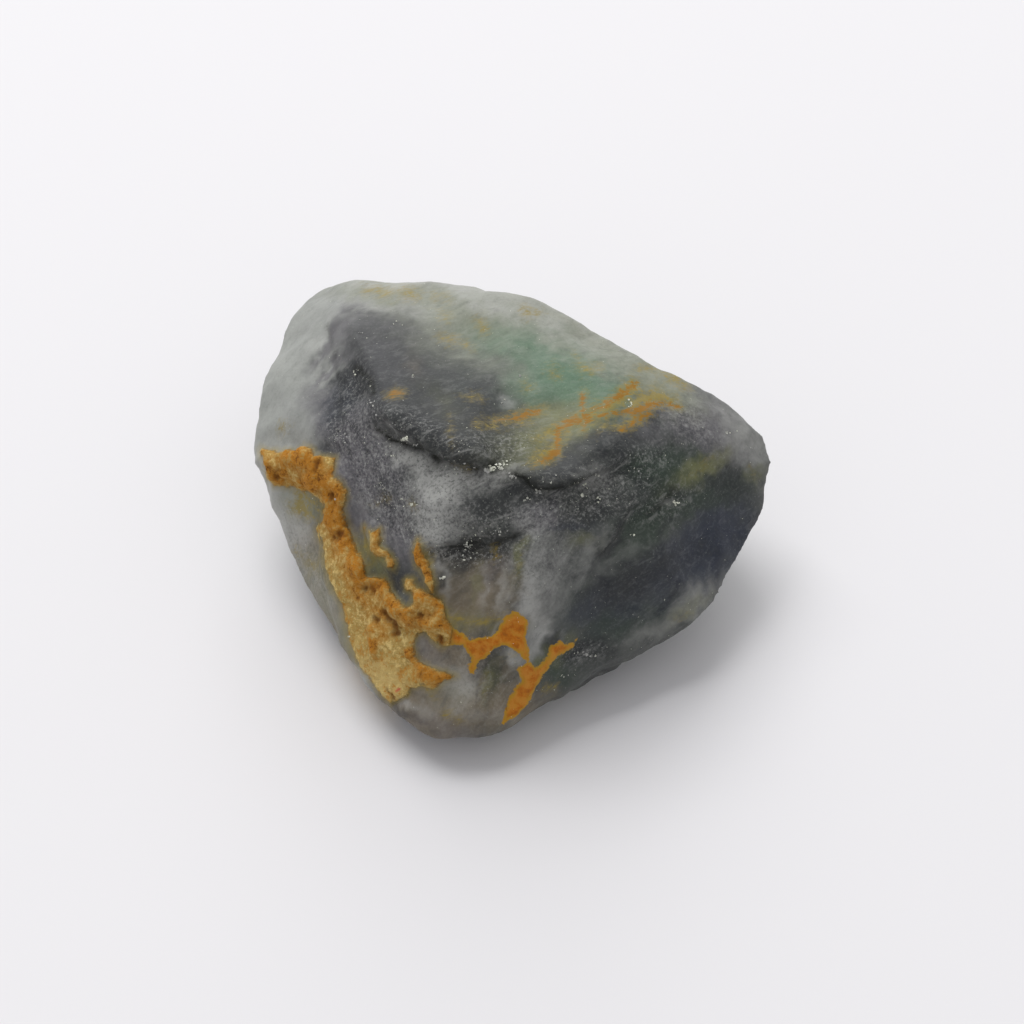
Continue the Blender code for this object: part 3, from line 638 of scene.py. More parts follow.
class StoneColours(bpy.types.PropertyGroup):
    """Colours of the stone's tones, stains and crust, and of its painted glints and painted ledge shade"""

    slate: named_colour("Slate", "The stone's body", (0.085, 0.09, 0.084))
    # Frost is the pale fracture faces, and also painted highlights on the crests of the left facet's
    # ripples.
    frost_and_painted_highlight: named_colour("Frost", "Pale fracture faces", (0.36, 0.37, 0.345))
    pale_green: named_colour("Pale Green", "Cloudy upper band", (0.25, 0.265, 0.21))
    sea_green: named_colour("Sea Green", "Green patches", (0.11, 0.185, 0.12))
    violet: named_colour("Violet", "Purple-grey patches", (0.155, 0.148, 0.16))
    # Cloud is the stone's white haze, and also painted light on the left flank and the thin top edge, a
    # painted highlight on a ripple of the left facet, and the lighter flecks of the grain.
    haze_and_painted_light: named_colour("Cloud", "White haze", (0.42, 0.42, 0.4))
    night: named_colour("Night", "Darkest patches", (0.026, 0.028, 0.03))
    deep_green: named_colour("Deep Green", "Dark green patches", (0.03, 0.05, 0.033))
    blue: named_colour("Blue", "Dark blue patches", (0.033, 0.04, 0.062))
    olive: named_colour("Olive", "Yellow-green glow", (0.18, 0.185, 0.08))
    mauve: named_colour("Mauve", "Brownish grey of the belly", (0.21, 0.17, 0.115))
    # Near black for the ledges' lips and bands: partly their dark broken stone, partly painted shade of
    # the steps.
    ledge_dark_and_shade: named_colour("Ledge", "Broken lips of the ledges", (0.008, 0.009, 0.006))
    stain: named_colour("Stain", "Yellow iron stain", (0.28, 0.21, 0.04))
    vein: named_colour("Vein", "Rusty veins", (0.27, 0.12, 0.005))
    coating: named_colour("Coating", "Smooth orange coating", (0.45, 0.13, 0.0015))
    coating_rim: named_colour("Coating Rim", "Edge of the smooth coating", (0.42, 0.23, 0.018))
    rust: named_colour("Rust", "Rusty parts of the crust", (0.52, 0.215, 0.022))
    ochre: named_colour("Ochre", "Body of the crust", (0.49, 0.335, 0.105))
    cream: named_colour("Cream", "Pale crumbs of the crust", (0.8, 0.6, 0.24))
    pit: named_colour("Pit", "Pits in the crust", (0.16, 0.055, 0.008))
    red_spot: named_colour("Red Spot", "Red speck on the crust", (0.6, 0.1, 0.06))
    # Glint is painted on tiny specks of the stone as painted glints, and is also the base colour of the
    # crystal grains.
    glint: named_colour("Glint", "Tiny bright crystal faces", (0.75, 0.76, 0.64))


class StageLook(bpy.types.PropertyGroup):
    """Floor, light and camera"""

    floor_colour: named_colour("Floor", "Colour of the floor", (0.78, 0.77, 0.785))
    sky_colour: named_colour("Sky", "Colour of the soft light from all round", (0.985, 0.985, 1.0))
    sky_strength: named_amount("Sky Strength", "Light from all round", 0.547)
    side_power: named_amount("Side Lamp", "Power of the side lamp", 8.5)
    side_place: named_place("Side Lamp Place", "Where it hangs", (-0.3, 0.52, 1.05))
    back_power: named_amount("Back Lamp", "Power of the back lamp", 4.5)
    back_place: named_place("Back Lamp Place", "Where it hangs", (0.0, 1.04, 0.61))
    lamp_size: named_length("Lamp Size", "Side of the square lamps", 750.0)


def sight_axes():
    """The directions right, up and back along the line of sight."""
    right = np.array((1.0, 0.0, 0.0))
    up = np.array((0.0, math.sin(SIGHT_ELEVATION), math.cos(SIGHT_ELEVATION)))
    back = np.array((0.0, -math.cos(SIGHT_ELEVATION), math.sin(SIGHT_ELEVATION)))
    return right, up, back


def chart(points, normals):
    """Each point's place on the chart, and how squarely its surface faces the eye, from -1 to 1."""
    right, up, back = sight_axes()
    away = points - SIGHT_AIM
    scale = SIGHT_DISTANCE / (SIGHT_DISTANCE - away @ back)
    placed = np.stack(((away @ right) * scale, (away @ up) * scale), axis=1)
    eye = SIGHT_AIM + back * SIGHT_DISTANCE
    towards_eye = (eye - points) / np.linalg.norm(eye - points, axis=1)[:, None]
    return placed, np.einsum("ij,ij->i", normals, towards_eye)


def smooth_step(value, low, high):
    """0 below low, 1 above high, and a smooth rise between."""
    share = np.clip((value - low) / (high - low), 0.0, 1.0)
    return share * share * (3.0 - 2.0 * share)


def fractal(points, wavelength, seed, octaves=3):
    """Fractal noise of about -1 to 1 at each point."""
    shift = Vector((seed * 13.7, seed * 5.1, seed * 9.3))
    return np.array([noise.fractal(Vector(p) / wavelength + shift, 1.0, 2.0, octaves) for p in points])


def layered(points, layers):
    """The sum of several layers of fractal noise."""
    return sum(amount * fractal(points, wavelength, seed) for amount, wavelength, seed in layers)


def along_and_across(places, climb):
    """Distances along the chart direction that climbs by so many degrees, and across it."""
    run, rise = math.cos(math.radians(climb)), math.sin(math.radians(climb))
    return places @ np.array((run, rise)), places @ np.array((-rise, run))


def along_route(places, route):
    """Each place's signed distance from the route, positive to its left, and its share of the way."""
    route = np.array(route)
    starts, ends = route[:-1], route[1:]
    lengths = np.linalg.norm(ends - starts, axis=1)
    before = np.concatenate(([0.0], np.cumsum(lengths)[:-1]))
    nearest = np.full(len(places), np.inf)
    signed = np.zeros(len(places))
    share = np.zeros(len(places))
    for start, end, length, done in zip(starts, ends, lengths, before):
        along = (end - start) / length
        offset = places - start
        on = np.clip(offset @ along, 0.0, length)
        gap = np.linalg.norm(offset - on[:, None] * along, axis=1)
        side = np.where(along[0] * offset[:, 1] - along[1] * offset[:, 0] >= 0.0, 1.0, -1.0)
        closer = gap < nearest
        nearest = np.where(closer, gap, nearest)
        signed = np.where(closer, gap * side, signed)
        share = np.where(closer, (done + on) / lengths.sum(), share)
    return signed, share


def near_line(places, start, end):
    """Each place's distance from a straight line, and how far along it the nearest spot is, 0 to 1."""
    run = end - start
    on = np.clip(((places - start) @ run) / (run @ run), 0.0, 1.0)
    return np.linalg.norm(places - start - on[:, None] * run, axis=1), on


def inside_chains(places, chains):
    """How far each place lies inside the nearest chain of discs, and below zero outside them."""
    depth = np.full(len(places), -np.inf)
    for chain in chains.values():
        discs = np.array(chain)
        for start, end in zip(discs[:-1], discs[1:]):
            gap, on = near_line(places, start[:2], end[:2])
            depth = np.maximum(depth, start[2] + on * (end[2] - start[2]) - gap)
    return depth


def inside_outlines(places, outlines):
    """How far each place lies inside the nearest outline, and below zero outside them."""
    depth = np.full(len(places), -np.inf)
    for outline in outlines.values():
        corners = np.array(outline)
        nearest = np.full(len(places), np.inf)
        inside = np.zeros(len(places), bool)
        for start, end in zip(corners, np.roll(corners, -1, axis=0)):
            nearest = np.minimum(nearest, near_line(places, start, end)[0])
            if start[1] != end[1]:
                spans = (start[1] > places[:, 1]) != (end[1] > places[:, 1])
                slope = (end[0] - start[0]) / (end[1] - start[1])
                inside ^= spans & (places[:, 0] < start[0] + slope * (places[:, 1] - start[1]))
        depth = np.maximum(depth, np.where(inside, nearest, -nearest))
    return depth


def inside_ellipses(places, ellipses):
    """The sum of soft ellipses at each place."""
    weight = np.zeros(len(places))
    for right, up, half_length, half_width, turn, strength in ellipses.values():
        along, across = along_and_across(places - np.array((right, up)), turn)
        weight += strength * np.exp(-((along / half_length) ** 2 + (across / half_width) ** 2))
    return weight


def read_mesh(mesh):
    """The mesh's points in millimetres and their normals."""
    points = np.empty(len(mesh.vertices) * 3)
    mesh.vertices.foreach_get("co", points)
    normals = np.empty(len(mesh.vertices) * 3)
    mesh.vertex_normals.foreach_get("vector", normals)
    return points.reshape(-1, 3) / MM, normals.reshape(-1, 3)


def write_mesh(mesh, points):
    mesh.vertices.foreach_set("co", (points * MM).ravel())
    mesh.update()


def keep_attribute(mesh, name, values):
    attribute = mesh.attributes.new(name, "FLOAT", "POINT")
    attribute.data.foreach_set("value", values.astype(np.float32))


def add_object(name, data):
    made = bpy.data.objects.new(name, data)
    bpy.context.scene.collection.objects.link(made)
    return made


def add_solid(name, block):
    """Makes an object of a finished bmesh."""
    mesh = bpy.data.meshes.new(name)
    block.to_mesh(mesh)
    block.free()
    return add_object(name, mesh)


def fine_copy(node, name, spacing, passes):
    """An evenly meshed, smoothed copy of a CAD node."""
    block = bmesh.new()
    block.from_mesh(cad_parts[node].data)
    bmesh.ops.remove_doubles(block, verts=block.verts, dist=WELD_DISTANCE)
    made = add_solid(name, block)
    remesh = made.modifiers.new("even mesh", "REMESH")
    remesh.mode = "VOXEL"
    remesh.voxel_size = spacing
    worn = made.modifiers.new("no facets", "SMOOTH")
    worn.factor = 0.5
    worn.iterations = passes
    graph = bpy.context.evaluated_depsgraph_get()
    applied = bpy.data.meshes.new_from_object(made.evaluated_get(graph))
    made.modifiers.clear()
    made.data = applied
    applied.name = name
    return made


def ledge_relief(points, places):
    """Cuts crisp, ragged steps into the ledges, and returns the height, the lips of painted shade and the
    broken bands that also get painted shade.
    """
    ragged = layered(points, LEDGE_NOISE)
    gaps = 0.35 + 0.65 * smooth_step(fractal(points, 1.8, seed=13), -0.5, 0.1)
    height = np.zeros(len(places))
    lips_dark_and_shade = np.zeros(len(places))
    broken_shaded_bands = np.zeros(len(places))
    for step, shade_darkness, route in LEDGES.values():
        signed, share = along_route(places, route)
        signed = signed + ragged
        ends = smooth_step(share, 0.0, LEDGE_TAPER) * smooth_step(1.0 - share, 0.0, LEDGE_TAPER)
        crisp = smooth_step(signed, -LEDGE_CRISP, LEDGE_CRISP)
        soft = smooth_step(signed, -LEDGE_SOFT, LEDGE_SOFT)
        height += step * (crisp - soft) * ends
        # Painted shade: a thin dark line just below each step, with gaps, partly the dark broken stone.
        lip_dark_and_shade = np.exp(-(((signed + LIP_SHADE_BELOW) / LIP_SHADE_WIDTH) ** 2)) * gaps
        # The broken band on the high side of the step fades upwards, and a short one fades below it; it
        # also carries painted shade.
        band = np.where(signed > 0.0, np.exp(-signed / LEDGE_BAND), np.exp(signed / LEDGE_FOOT))
        lips_dark_and_shade = np.maximum(lips_dark_and_shade, lip_dark_and_shade * ends * shade_darkness)
        broken_shaded_bands = np.maximum(broken_shaded_bands, band * ends * shade_darkness)
    return height, lips_dark_and_shade, broken_shaded_bands


def crust_relief(points, places, crust, sizes):
    """The crust's height in millimetres, and what its material reads at each place."""
    ragged = layered(points, RIDGE_NOISE)
    ridges = smooth_step(inside_chains(places, RIDGES) + ragged, -0.4, 0.3)
    hollows = smooth_step(inside_chains(places, HOLLOWS) + 1.5 * ragged, -0.15, 0.3)
    crumbs = layered(points, CRUMB_NOISE)
    uneven = 1.0 + 0.9 * fractal(points, 1.1, seed=25)
    rusty = np.clip(inside_ellipses(places, RUSTY) * uneven, -1.0, 1.0)
    height = sizes.crust_rise + sizes.ridge_height * ridges
    height += sizes.crumb_height * crumbs - sizes.hollow_depth * hollows
    marks = {
        "crust": crust,
        "rusty": ridges + (1.0 - ridges) * rusty,
        "hollow": hollows,
        "crumb": smooth_step(crumbs, -1.2, 1.2),
    }
    return smooth_step(crust, -0.1, 0.25) * height / MM, marks


def flute_relief(points, places):
    """Ripples of a shell-like fracture on the left facet, from -1 to 1."""
    right, up, half_width, half_height = FLUTED_FACET
    out = np.hypot((places[:, 0] - right) / half_width, (places[:, 1] - up) / half_height)
    across = along_and_across(places, FLUTE_CLIMB)[1]
    bend = 0.5 * fractal(points, 5.0, seed=31)
    wave = np.abs(np.sin(math.pi * (across / FLUTE_SPACING + bend)))
    return np.exp(-(out**3)) * (2.0 * wave - 1.0)


def groove_relief(points, places):
    """Grooves that run down the left fracture, from -1 to 1."""
    along, across = along_and_across(places, GROOVE_CLIMB)
    stretched = np.stack((along * GROOVE_STRETCH, across, points[:, 2] * GROOVE_STRETCH / 2.0), axis=1)
    fracture = inside_ellipses(places, {"fracture": BROKEN["left_fracture"]})
    return fracture * fractal(stretched, 1.1, seed=32, octaves=4)


def broken_share(points, places, facing, broken_shaded_bands):
    """How grainy each place is: the broken parts of the front, and large patches on the hidden sides."""
    front = np.clip(inside_ellipses(places, BROKEN) + 0.8 * broken_shaded_bands, 0.0, 1.0)
    patches = smooth_step(fractal(points, 7.0, seed=5), 0.0, 0.4)
    hidden = 0.8 * smooth_step(-facing, 0.1, 0.5) * patches
    return np.maximum(front * smooth_step(facing, *SEEN), hidden)


def skin_height(points, crust, broken, sizes):
    """Unevenness of the bare stone, in millimetres."""
    skin = sizes.skin_relief * layered(points, SKIN_NOISE)
    grain = sizes.broken_relief * layered(points, GRAIN_NOISE)
    bare = 1.0 - smooth_step(crust, -0.1, 0.2)
    return bare * (skin + grain * broken) / MM


def raised(points, normals, height):
    """The points moved along their normals, with nothing below the floor and its contact left alone."""
    above_floor = smooth_step(points[:, 2], 0.0, FOOT_HEIGHT)
    shaped = points + normals * (height * above_floor)[:, None]
    shaped[:, 2] = np.maximum(shaped[:, 2], 0.0)
    return shaped


def shape_stone(made, sizes):
    """Raises the fine detail of the stone and keeps what each place is made of."""
    points, normals = read_mesh(made.data)
    places, facing = chart(points, normals)
    seen = smooth_step(facing, *SEEN)
    outside = UNSEEN_DEPTH * (1.0 - seen)
    ragged = layered(points, EDGE_NOISE)
    crust = inside_outlines(places, CRUST_OUTLINES) + ragged
    crust -= CRUST_FADE * np.maximum(CRUST_TURN - facing, 0.0)
    coating = inside_outlines(places, COATING_OUTLINES) + 1.1 * ragged
    ledges, lips_dark_and_shade, broken_shaded_bands = ledge_relief(points, places)
    broken = broken_share(points, places, facing, broken_shaded_bands)
    crust_height, marks = crust_relief(points, places, crust, sizes)

    chart_height = ledges + sizes.flute_height / MM * flute_relief(points, places)
    chart_height += sizes.groove_depth / MM * groove_relief(points, places)
    chart_height += sizes.coating_rise / MM * smooth_step(coating, -0.1, 0.15)
    height = seen * chart_height + skin_height(points, crust, broken, sizes)
    height += smooth_step(facing, *SWELLING_SEEN) * inside_ellipses(places, SWELLINGS)
    height += smooth_step(facing, *CRUST_SEEN) * crust_height
    write_mesh(made.data, raised(points, normals, height))

    marks |= tone_shares(points, places, facing)
    marks |= {
        "broken": broken,
        # The ledges' lips and bands, which the material darkens as painted shade.
        "lip_dark_and_shade": lips_dark_and_shade * seen,
        "band": broken_shaded_bands * seen,
        "coating": coating - outside,
        "vein": inside_chains(places, VEINS) + 0.8 * ragged - outside,
        "stain": inside_chains(places, STAINS) + 1.6 * ragged - outside,
        "red_spot": inside_chains(places, RED_SPOTS) - outside,
    }
    for part, ellipses in RUNS.items():
        marks[part] = np.clip(inside_ellipses(places, ellipses), 0.0, 1.0)
    for name, values in marks.items():
        keep_attribute(made.data, name, values)


def tone_shares(points, places, facing):
    """The share that each tone has of the colour below it, from the weights of all of them."""
    warped = places.copy()
    for seed, (wavelength, reach) in enumerate(TONE_WARP):
        warped[:, 0] += reach * fractal(points, wavelength, seed=50 + seed)
        warped[:, 1] += reach * fractal(points, wavelength, seed=60 + seed)
    hidden = smooth_step(-facing, 0.0, 0.45)
    total = np.full(len(points), SLATE_WEIGHT)
    shares = {}
    for seed, (tone, ellipses) in enumerate(TONES.items()):
        wavelength, start, full = HIDDEN_TONES[tone]
        own = smooth_step(fractal(points, wavelength, seed=70 + seed), start, full)
        weight = inside_ellipses(warped, ellipses) * (1.0 - hidden) + own * hidden
        for finer, (wavelength, depth) in enumerate(TONE_MOTTLE):
            weight *= 1.0 + depth * fractal(points, wavelength, seed=80 + 2 * seed + finer)
        weight = np.maximum(weight, 0.0)
        total += weight
        shares[tone] = weight / total
    return shares


def new_material(name):
    """A material with a tree of nodes, and its shader."""
    material = bpy.data.materials.new(name)
    material.use_nodes = True
    return material, material.node_tree.nodes["Principled BSDF"]


def fill(node, inputs):
    """Links each of a node's sockets to another node, or sets it to a constant."""
    for socket, value in inputs.items():
        if isinstance(value, bpy.types.NodeSocket):
            node.id_data.links.new(value, node.inputs[socket])
        else:
            node.inputs[socket].default_value = value


class Nodes:
    """Adds nodes to one material's tree, in millimetre coordinates on the object."""

    def __init__(self, material):
        self.tree = material.node_tree
        place = self.add("ShaderNodeTexCoord").outputs["Object"]
        inputs = {"Vector": place, "Scale": (1 / MM, 1 / MM, 1 / MM)}
        self.place = self.add("ShaderNodeMapping", inputs).outputs[0]

    def add(self, kind, inputs=None, **settings):
        made = self.tree.nodes.new(kind)
        for setting, value in settings.items():
            setattr(made, setting, value)
        fill(made, inputs or {})
        return made

    def attribute(self, name):
        return self.add("ShaderNodeAttribute", attribute_name=name).outputs["Fac"]

    def noise(self, wavelength, detail=3.0, roughness=0.55, distortion=0.0, place=None):
        inputs = {
            "Vector": place or self.place,
            "Scale": 1.0 / wavelength,
            "Detail": detail,
            "Roughness": roughness,
            "Distortion": distortion,
        }
        return self.add("ShaderNodeTexNoise", inputs).outputs["Fac"]

    def stretched(self, climb, length):
        """Coordinates that stretch a pattern along the chart direction that climbs by so many degrees."""
        right, up, _ = sight_axes()
        along = right * math.cos(math.radians(climb)) + up * math.sin(math.radians(climb))
        turn = (0.0, -math.asin(along[2]), math.atan2(along[1], along[0]))
        inputs = {"Vector": self.place, "Rotation": turn, "Scale": (length, 1.0, 1.0)}
        return self.add("ShaderNodeMapping", inputs, vector_type="TEXTURE").outputs[0]

    def math(self, operation, *values, clamp=False):
        inputs = dict(enumerate(values))
        return self.add("ShaderNodeMath", inputs, operation=operation, use_clamp=clamp).outputs[0]

    def times(self, value, factor):
        return self.math("MULTIPLY", value, factor)

    def larger(self, value, other):
        return self.math("MAXIMUM", value, other)

    def step(self, value, low, high, result_low=0.0, result_high=1.0):
        """A smooth change from result_low to result_high as the value goes from low to high."""
        if low > high:
            low, high, result_low, result_high = high, low, result_high, result_low
        inputs = {
            "Value": value,
            "From Min": low,
            "From Max": high,
            "To Min": result_low,
            "To Max": result_high,
        }
        return self.add("ShaderNodeMapRange", inputs, interpolation_type="SMOOTHSTEP").outputs["Result"]

    def mix(self, share, below, above):
        """Two colours, each a socket or a constant, mixed by a share of the one above."""
        inputs = {"Factor": share}
        for socket, colour in ((6, below), (7, above)):
            inputs[socket] = colour if isinstance(colour, bpy.types.NodeSocket) else (*colour, 1.0)
        return self.add("ShaderNodeMix", inputs, data_type="RGBA").outputs[2]

    def tint(self, colour, above, value, start, full, most=1.0):
        """The colour, covered by the one above as the value goes from start to full, up to a share."""
        return self.mix(self.step(value, start, full, 0.0, most), colour, above)

    def mottled(self, share, pattern, amount):
        """A share whose middle values are broken up by a pattern around 0.5."""
        swing = self.times(self.math("SUBTRACT", 1.0, share), share)
        pull = self.math("MULTIPLY_ADD", pattern, 4.0 * amount, -2.0 * amount)
        return self.math("MULTIPLY_ADD", swing, pull, share, clamp=True)


def stone_material(colours, sizes):
    material, shader = new_material("cloudy_fluorite")
    nodes = Nodes(material)
    veil = nodes.noise(3.0, detail=6.0, roughness=0.6, distortion=0.8)
    speckle = nodes.noise(0.26, detail=3.0, roughness=0.7)
    broken = nodes.attribute("broken")
    colour = body_colour(nodes, colours, veil, speckle, broken)
    colour, crust = iron_colour(nodes, colours, colour, speckle)
    # Painted glints: tiny pale specks in the base colour, more of them on the broken parts and none on the
    # crust.
    flecks = nodes.noise(0.2, detail=2.0, roughness=0.6)
    painted_sparkle = nodes.times(broken, nodes.step(veil, 0.4, 0.65))
    flecks = nodes.math("MULTIPLY_ADD", painted_sparkle, 0.09, flecks)
    glint = nodes.times(nodes.step(flecks, 0.735, 0.77), nodes.math("SUBTRACT", 1.0, crust))
    inputs = {
        "Base Color": nodes.mix(glint, colour, colours.glint),
        "Roughness": stone_roughness(nodes, veil, broken, crust, glint),
        "Normal": grain_normal(nodes, broken, crust, sizes.grain_relief),
        "IOR": FLUORITE_IOR,
        "Specular IOR Level": 0.25,
        "Subsurface Weight": 0.2,
        "Subsurface Radius": (1.0, 1.1, 1.05),
        "Subsurface Scale": 0.6 * MM,
    }
    fill(shader, inputs)
    return material


def stone_roughness(nodes, veil, broken, crust, glint):
    """Satin on the worn skin, duller where it is broken, dull on the crust and glossy on the painted
    glints.
    """
    rough = nodes.step(veil, 0.35, 0.65, 0.42, 0.58)
    rough = nodes.larger(rough, nodes.step(broken, 0.0, 1.0, 0.0, 0.62))
    rough = nodes.larger(rough, nodes.step(crust, 0.0, 1.0, 0.0, 0.88))
    return nodes.times(rough, nodes.step(glint, 0.0, 1.0, 1.0, 0.3))


def grain_normal(nodes, broken, crust, height):
    """Grain that is strongest on the crust and on the broken parts."""
    crust_grain = nodes.step(crust, 0.0, 1.0, 0.5, 6.0)
    broken_grain = nodes.step(broken, 0.0, 1.0, 0.5, 3.5)
    crumbs = nodes.noise(0.32, detail=4.0, roughness=0.75)
    relief = nodes.times(crumbs, nodes.larger(crust_grain, broken_grain))
    inputs = {"Height": relief, "Strength": 1.0, "Distance": height}
    return nodes.add("ShaderNodeBump", inputs).outputs["Normal"]


def streak_pattern(nodes):
    """Noise stretched the way that the stone's grain runs in each part."""
    pattern = None
    for part, (climb, length, wavelength) in STREAKS.items():
        place = nodes.stretched(climb, length)
        own = nodes.noise(wavelength, detail=6.0, roughness=0.65, distortion=0.7, place=place)
        if pattern is None:
            pattern = own
        else:
            change = nodes.math("SUBTRACT", own, pattern)
            pattern = nodes.math("MULTIPLY_ADD", change, nodes.attribute(part), pattern)
    return pattern


def body_colour(nodes, colours, veil, speckle, broken):
    """The stone's tones, some of them painted light and shade, mixed by their shares and broken up by
    veils, streaks and grain, with painted shade on the ledges.
    """
    streaks = streak_pattern(nodes)
    colour = nodes.mix(nodes.step(veil, 0.3, 0.55), colours.night, colours.slate)
    for number, tone in enumerate(TONES):
        pattern = (veil, streaks)[number % 2]
        share = nodes.mottled(nodes.attribute(tone), pattern, 0.6)
        colour = nodes.mix(share, colour, getattr(colours, tone))
    steep = nodes.times(nodes.attribute("front_run"), 0.3)
    depth = nodes.larger(nodes.step(broken, 0.0, 0.6, 0.14, 0.5), steep)
    colour = shaded(nodes, colours, colour, streaks, depth)
    colour = shaded(nodes, colours, colour, speckle, nodes.step(broken, 0.0, 0.6, 0.09, 0.6))
    # Painted shade: the ledges' bands and lips go near black, partly their dark broken stone.
    band = nodes.mottled(nodes.times(nodes.attribute("band"), 0.62), speckle, 2.8)
    colour = nodes.mix(band, colour, colours.ledge_dark_and_shade)
    lip_dark_and_shade = nodes.mottled(nodes.attribute("lip_dark_and_shade"), speckle, 1.5)
    return nodes.mix(lip_dark_and_shade, colour, colours.ledge_dark_and_shade)


def shaded(nodes, colours, colour, pattern, depth):
    """The colour, lighter where the pattern is high and darker where it is low."""
    colour = nodes.tint(colour, colours.haze_and_painted_light, pattern, 0.5, 0.67, nodes.times(depth, 0.7))
    return nodes.tint(colour, colours.night, pattern, 0.5, 0.33, depth)


def iron_colour(nodes, colours, colour, speckle):
    """Iron over the stone's own colour, and the share that the crust has."""
    flecks = nodes.noise(0.3, detail=5.0, roughness=0.75, place=nodes.stretched(26.0, 3.5))
    stain = nodes.math("MULTIPLY_ADD", flecks, 3.4, nodes.attribute("stain"))
    vein = nodes.math("MULTIPLY_ADD", flecks, 2.2, nodes.attribute("vein"))
    colour = nodes.tint(colour, colours.stain, stain, 1.3, 2.3, 0.28)
    colour = nodes.tint(colour, colours.stain, stain, 2.05, 2.5, 0.6)
    colour = nodes.tint(colour, colours.stain, vein, 0.5, 1.4, 0.45)
    colour = nodes.tint(colour, colours.vein, vein, 0.98, 1.4, 0.9)

    blotch = nodes.noise(0.9, detail=4.0, roughness=0.65)
    edge = nodes.math("MULTIPLY_ADD", speckle, 0.5, nodes.attribute("coating"))
    orange = coating_colour(nodes, colours, blotch, speckle, edge)
    colour = nodes.tint(colour, orange, edge, 0.15, 0.3)

    crust_edge = nodes.math("MULTIPLY_ADD", speckle, 0.5, nodes.attribute("crust"))
    colour = nodes.tint(colour, colours.stain, crust_edge, -0.45, 0.3, 0.5)
    crust = nodes.step(crust_edge, 0.1, 0.4)
    return nodes.mix(crust, colour, crust_colour(nodes, colours, blotch)), crust


def coating_colour(nodes, colours, blotch, speckle, edge):
    """Orange with rusty blotches and brown spots, and yellower towards the coating's edge."""
    orange = nodes.mix(nodes.step(blotch, 0.4, 0.62), colours.coating, colours.rust)
    orange = nodes.tint(orange, colours.pit, blotch, 0.48, 0.32, 0.4)
    orange = nodes.tint(orange, colours.coating_rim, speckle, 0.5, 0.7, 0.35)
    orange = nodes.mix(nodes.step(edge, 0.25, 0.65), colours.coating_rim, orange)
    spots = nodes.noise(0.6, detail=4.0, roughness=0.6)
    return nodes.tint(orange, colours.pit, spots, 0.36, 0.27, 0.7)


def crust_colour(nodes, colours, blotch):
    """Ochre and rust by how high among its crumbs each place of the crust is, with brown pits."""
    grit = nodes.noise(0.3, detail=6.0, roughness=0.8)
    crumb = nodes.math("MULTIPLY_ADD", nodes.math("SUBTRACT", grit, 0.5), 3.6, nodes.attribute("crumb"))
    rusty = nodes.attribute("rusty")
    pale = nodes.larger(nodes.step(crumb, 0.5, 1.1), nodes.step(rusty, 0.0, -0.9, 0.0, 0.6))
    ochre = nodes.mix(pale, colours.ochre, colours.cream)
    ochre = nodes.tint(ochre, colours.rust, crumb, 0.5, -0.1, 0.75)
    rust = nodes.mix(nodes.step(crumb, -0.25, 0.4), colours.pit, colours.rust)
    rust = nodes.tint(rust, colours.ochre, crumb, 0.5, 1.0, 0.7)
    mixed = nodes.mix(nodes.mottled(nodes.larger(rusty, 0.0), blotch, 1.5), ochre, rust)
    hollow = nodes.mottled(nodes.times(nodes.attribute("hollow"), 0.85), grit, 1.5)
    mixed = nodes.mix(hollow, mixed, colours.pit)
    return nodes.tint(mixed, colours.red_spot, nodes.attribute("red_spot"), -0.1, 0.1)


def crystal_material(colours):
    material, shader = new_material("clear_crystal")
    nodes = Nodes(material)
    tint = nodes.step(nodes.noise(1.6, detail=1.0), 0.4, 0.6)
    colour = nodes.mix(tint, colours.glint, colours.haze_and_painted_light)
    fill(shader, {"Base Color": colour, "Roughness": 0.18, "IOR": FLUORITE_IOR})
    return material


def cluster_places(rng):
    """The chart place of every crystal grain and its share of the full size."""
    for right, up, spread, number, share in CLUSTERS.values():
        for _ in range(number):
            yield right + spread * rng.gauss(0.0, 0.6), up + spread * rng.gauss(0.0, 0.4), share


def place_on_stone(stone, right_by, up_by):
    """Where the line of sight through a chart place meets the stone, in metres."""
    right, up, back = sight_axes()
    eye = SIGHT_AIM + back * SIGHT_DISTANCE
    towards = SIGHT_AIM + right * right_by + up * up_by - eye
    found, place, _, _ = stone.ray_cast(Vector(eye * MM), Vector(towards).normalized())
    return place if found else None


class FLUORITE_OT_stone(bpy.types.Operator):
    """Build the stone from the frame's node, with its crust, ledges and tones"""

    bl_idname = "fluorite.stone"
    bl_label = "Stone"

    def execute(self, context):
        sizes = context.scene.fluorite_sizes
        made = fine_copy("fluorite", "fluorite_stone", sizes.mesh_spacing, sizes.worn_passes)
        shape_stone(made, sizes)
        made.data.materials.clear()
        made.data.materials.append(stone_material(context.scene.fluorite_colours, sizes))
        made.data.shade_smooth()
        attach(made, "root")
        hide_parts("fluorite")
        return {"FINISHED"}


class FLUORITE_OT_crystals(bpy.types.Operator):
    """Set tiny crystal grains along the stone's ledges and fractures"""

    bl_idname = "fluorite.crystals"
    bl_label = "Crystals"

    def execute(self, context):
        size = context.scene.fluorite_sizes.crystal_size
        stone = bpy.data.objects["fluorite_stone"]
        rng = random.Random(CRYSTAL_SEED)
        block = bmesh.new()
        for right, up, share in cluster_places(rng):
            place = place_on_stone(stone, right, up)
            if place is None:
                continue
            turn = Euler([rng.uniform(0.0, math.tau) for _ in range(3)]).to_matrix().to_4x4()
            sides = [size * share * rng.uniform(0.3, 1.0) ** 1.5 for _ in range(3)]
            shape = Matrix.Translation(place) @ turn @ Matrix.Diagonal((*sides, 1.0))
            bmesh.ops.create_cube(block, size=1.0, matrix=shape)
        made = add_solid("glitter_crystals", block)
        made.data.materials.append(crystal_material(context.scene.fluorite_colours))
        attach(made, "root")
        return {"FINISHED"}


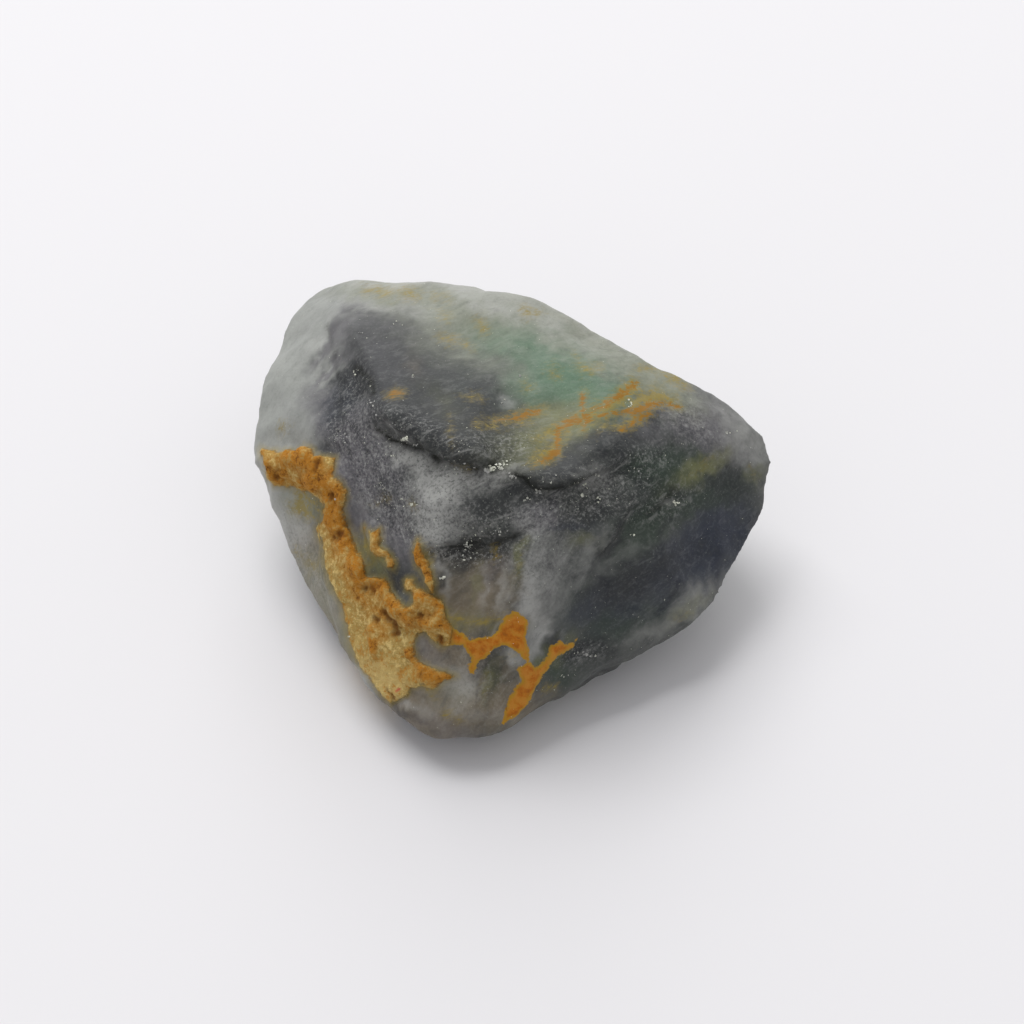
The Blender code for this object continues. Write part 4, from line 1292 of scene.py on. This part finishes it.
def floor_material(colour):
    material, shader = new_material("pale_floor")
    fill(shader, {"Base Color": (*colour, 1.0), "Roughness": 0.9, "Specular IOR Level": 0.2})
    return material


def soft_room(look):
    """A world of even light."""
    world = bpy.data.worlds.new("soft_room")
    world.use_nodes = True
    sky = world.node_tree.nodes["Background"]
    fill(sky, {"Color": (*look.sky_colour, 1.0), "Strength": look.sky_strength})
    return world


def aim(made, place, target):
    """Puts a camera or lamp at a place, in metres, looking at the target."""
    made.location = place
    made.rotation_mode = "QUATERNION"
    made.rotation_quaternion = (Vector(target) - Vector(place)).to_track_quat("-Z", "Y")


def hang_lamp(name, place, power, size):
    lamp = add_object(name, bpy.data.lights.new(name, "AREA"))
    lamp.data.size = size
    lamp.data.energy = power
    aim(lamp, place, LAMP_AIM)


def sight_camera():
    """A camera that looks down at the stone along the line of sight."""
    camera = add_object("camera", bpy.data.cameras.new("camera"))
    camera.data.sensor_width = SENSOR_WIDTH
    camera.data.lens = SENSOR_WIDTH * SIGHT_DISTANCE / SIGHT_WIDTH
    camera.data.clip_start = 0.01
    back = sight_axes()[2]
    aim(camera, (SIGHT_AIM + back * SIGHT_DISTANCE) * MM, SIGHT_AIM * MM)
    return camera


class FLUORITE_OT_stage(bpy.types.Operator):
    """Build the floor, the soft light and the camera"""

    bl_idname = "fluorite.stage"
    bl_label = "Stage"

    def execute(self, context):
        look = context.scene.fluorite_stage
        block = bmesh.new()
        bmesh.ops.create_grid(block, x_segments=1, y_segments=1, size=FLOOR_HALF_SIDE)
        floor = add_solid("floor", block)
        floor.data.materials.append(floor_material(look.floor_colour))
        hang_lamp("side_lamp", look.side_place, look.side_power, look.lamp_size)
        hang_lamp("back_lamp", look.back_place, look.back_power, look.lamp_size)
        context.scene.world = soft_room(look)
        context.scene.view_settings.view_transform = "Standard"
        context.scene.camera = sight_camera()
        return {"FINISHED"}


class FLUORITE_PT_panel(bpy.types.Panel):
    """Lists the stone, its crystals and the stage with their settings"""

    bl_label = "Raw Fluorite"
    bl_idname = "FLUORITE_PT_panel"
    bl_space_type = "VIEW_3D"
    bl_region_type = "UI"
    bl_category = "Fluorite"

    def draw(self, context):
        scene = context.scene
        for operator, group in (
            ("fluorite.stone", scene.fluorite_sizes),
            ("fluorite.crystals", scene.fluorite_colours),
            ("fluorite.stage", scene.fluorite_stage),
        ):
            box = self.layout.box()
            box.operator(operator)
            for setting in group.__annotations__:
                box.prop(group, setting)


GROUPS = {
    "fluorite_sizes": StoneSizes,
    "fluorite_colours": StoneColours,
    "fluorite_stage": StageLook,
}
CLASSES = (
    *GROUPS.values(),
    FLUORITE_OT_stone,
    FLUORITE_OT_crystals,
    FLUORITE_OT_stage,
    FLUORITE_PT_panel,
)


def register():
    for made in CLASSES:
        bpy.utils.register_class(made)
    for name, group in GROUPS.items():
        setattr(bpy.types.Scene, name, bpy.props.PointerProperty(type=group))


def unregister():
    for name in GROUPS:
        delattr(bpy.types.Scene, name)
    for made in reversed(CLASSES):
        bpy.utils.unregister_class(made)


def main():
    register()
    bpy.ops.fluorite.stone()
    bpy.ops.fluorite.crystals()
    bpy.ops.fluorite.stage()


if __name__ == "__main__":
    main()
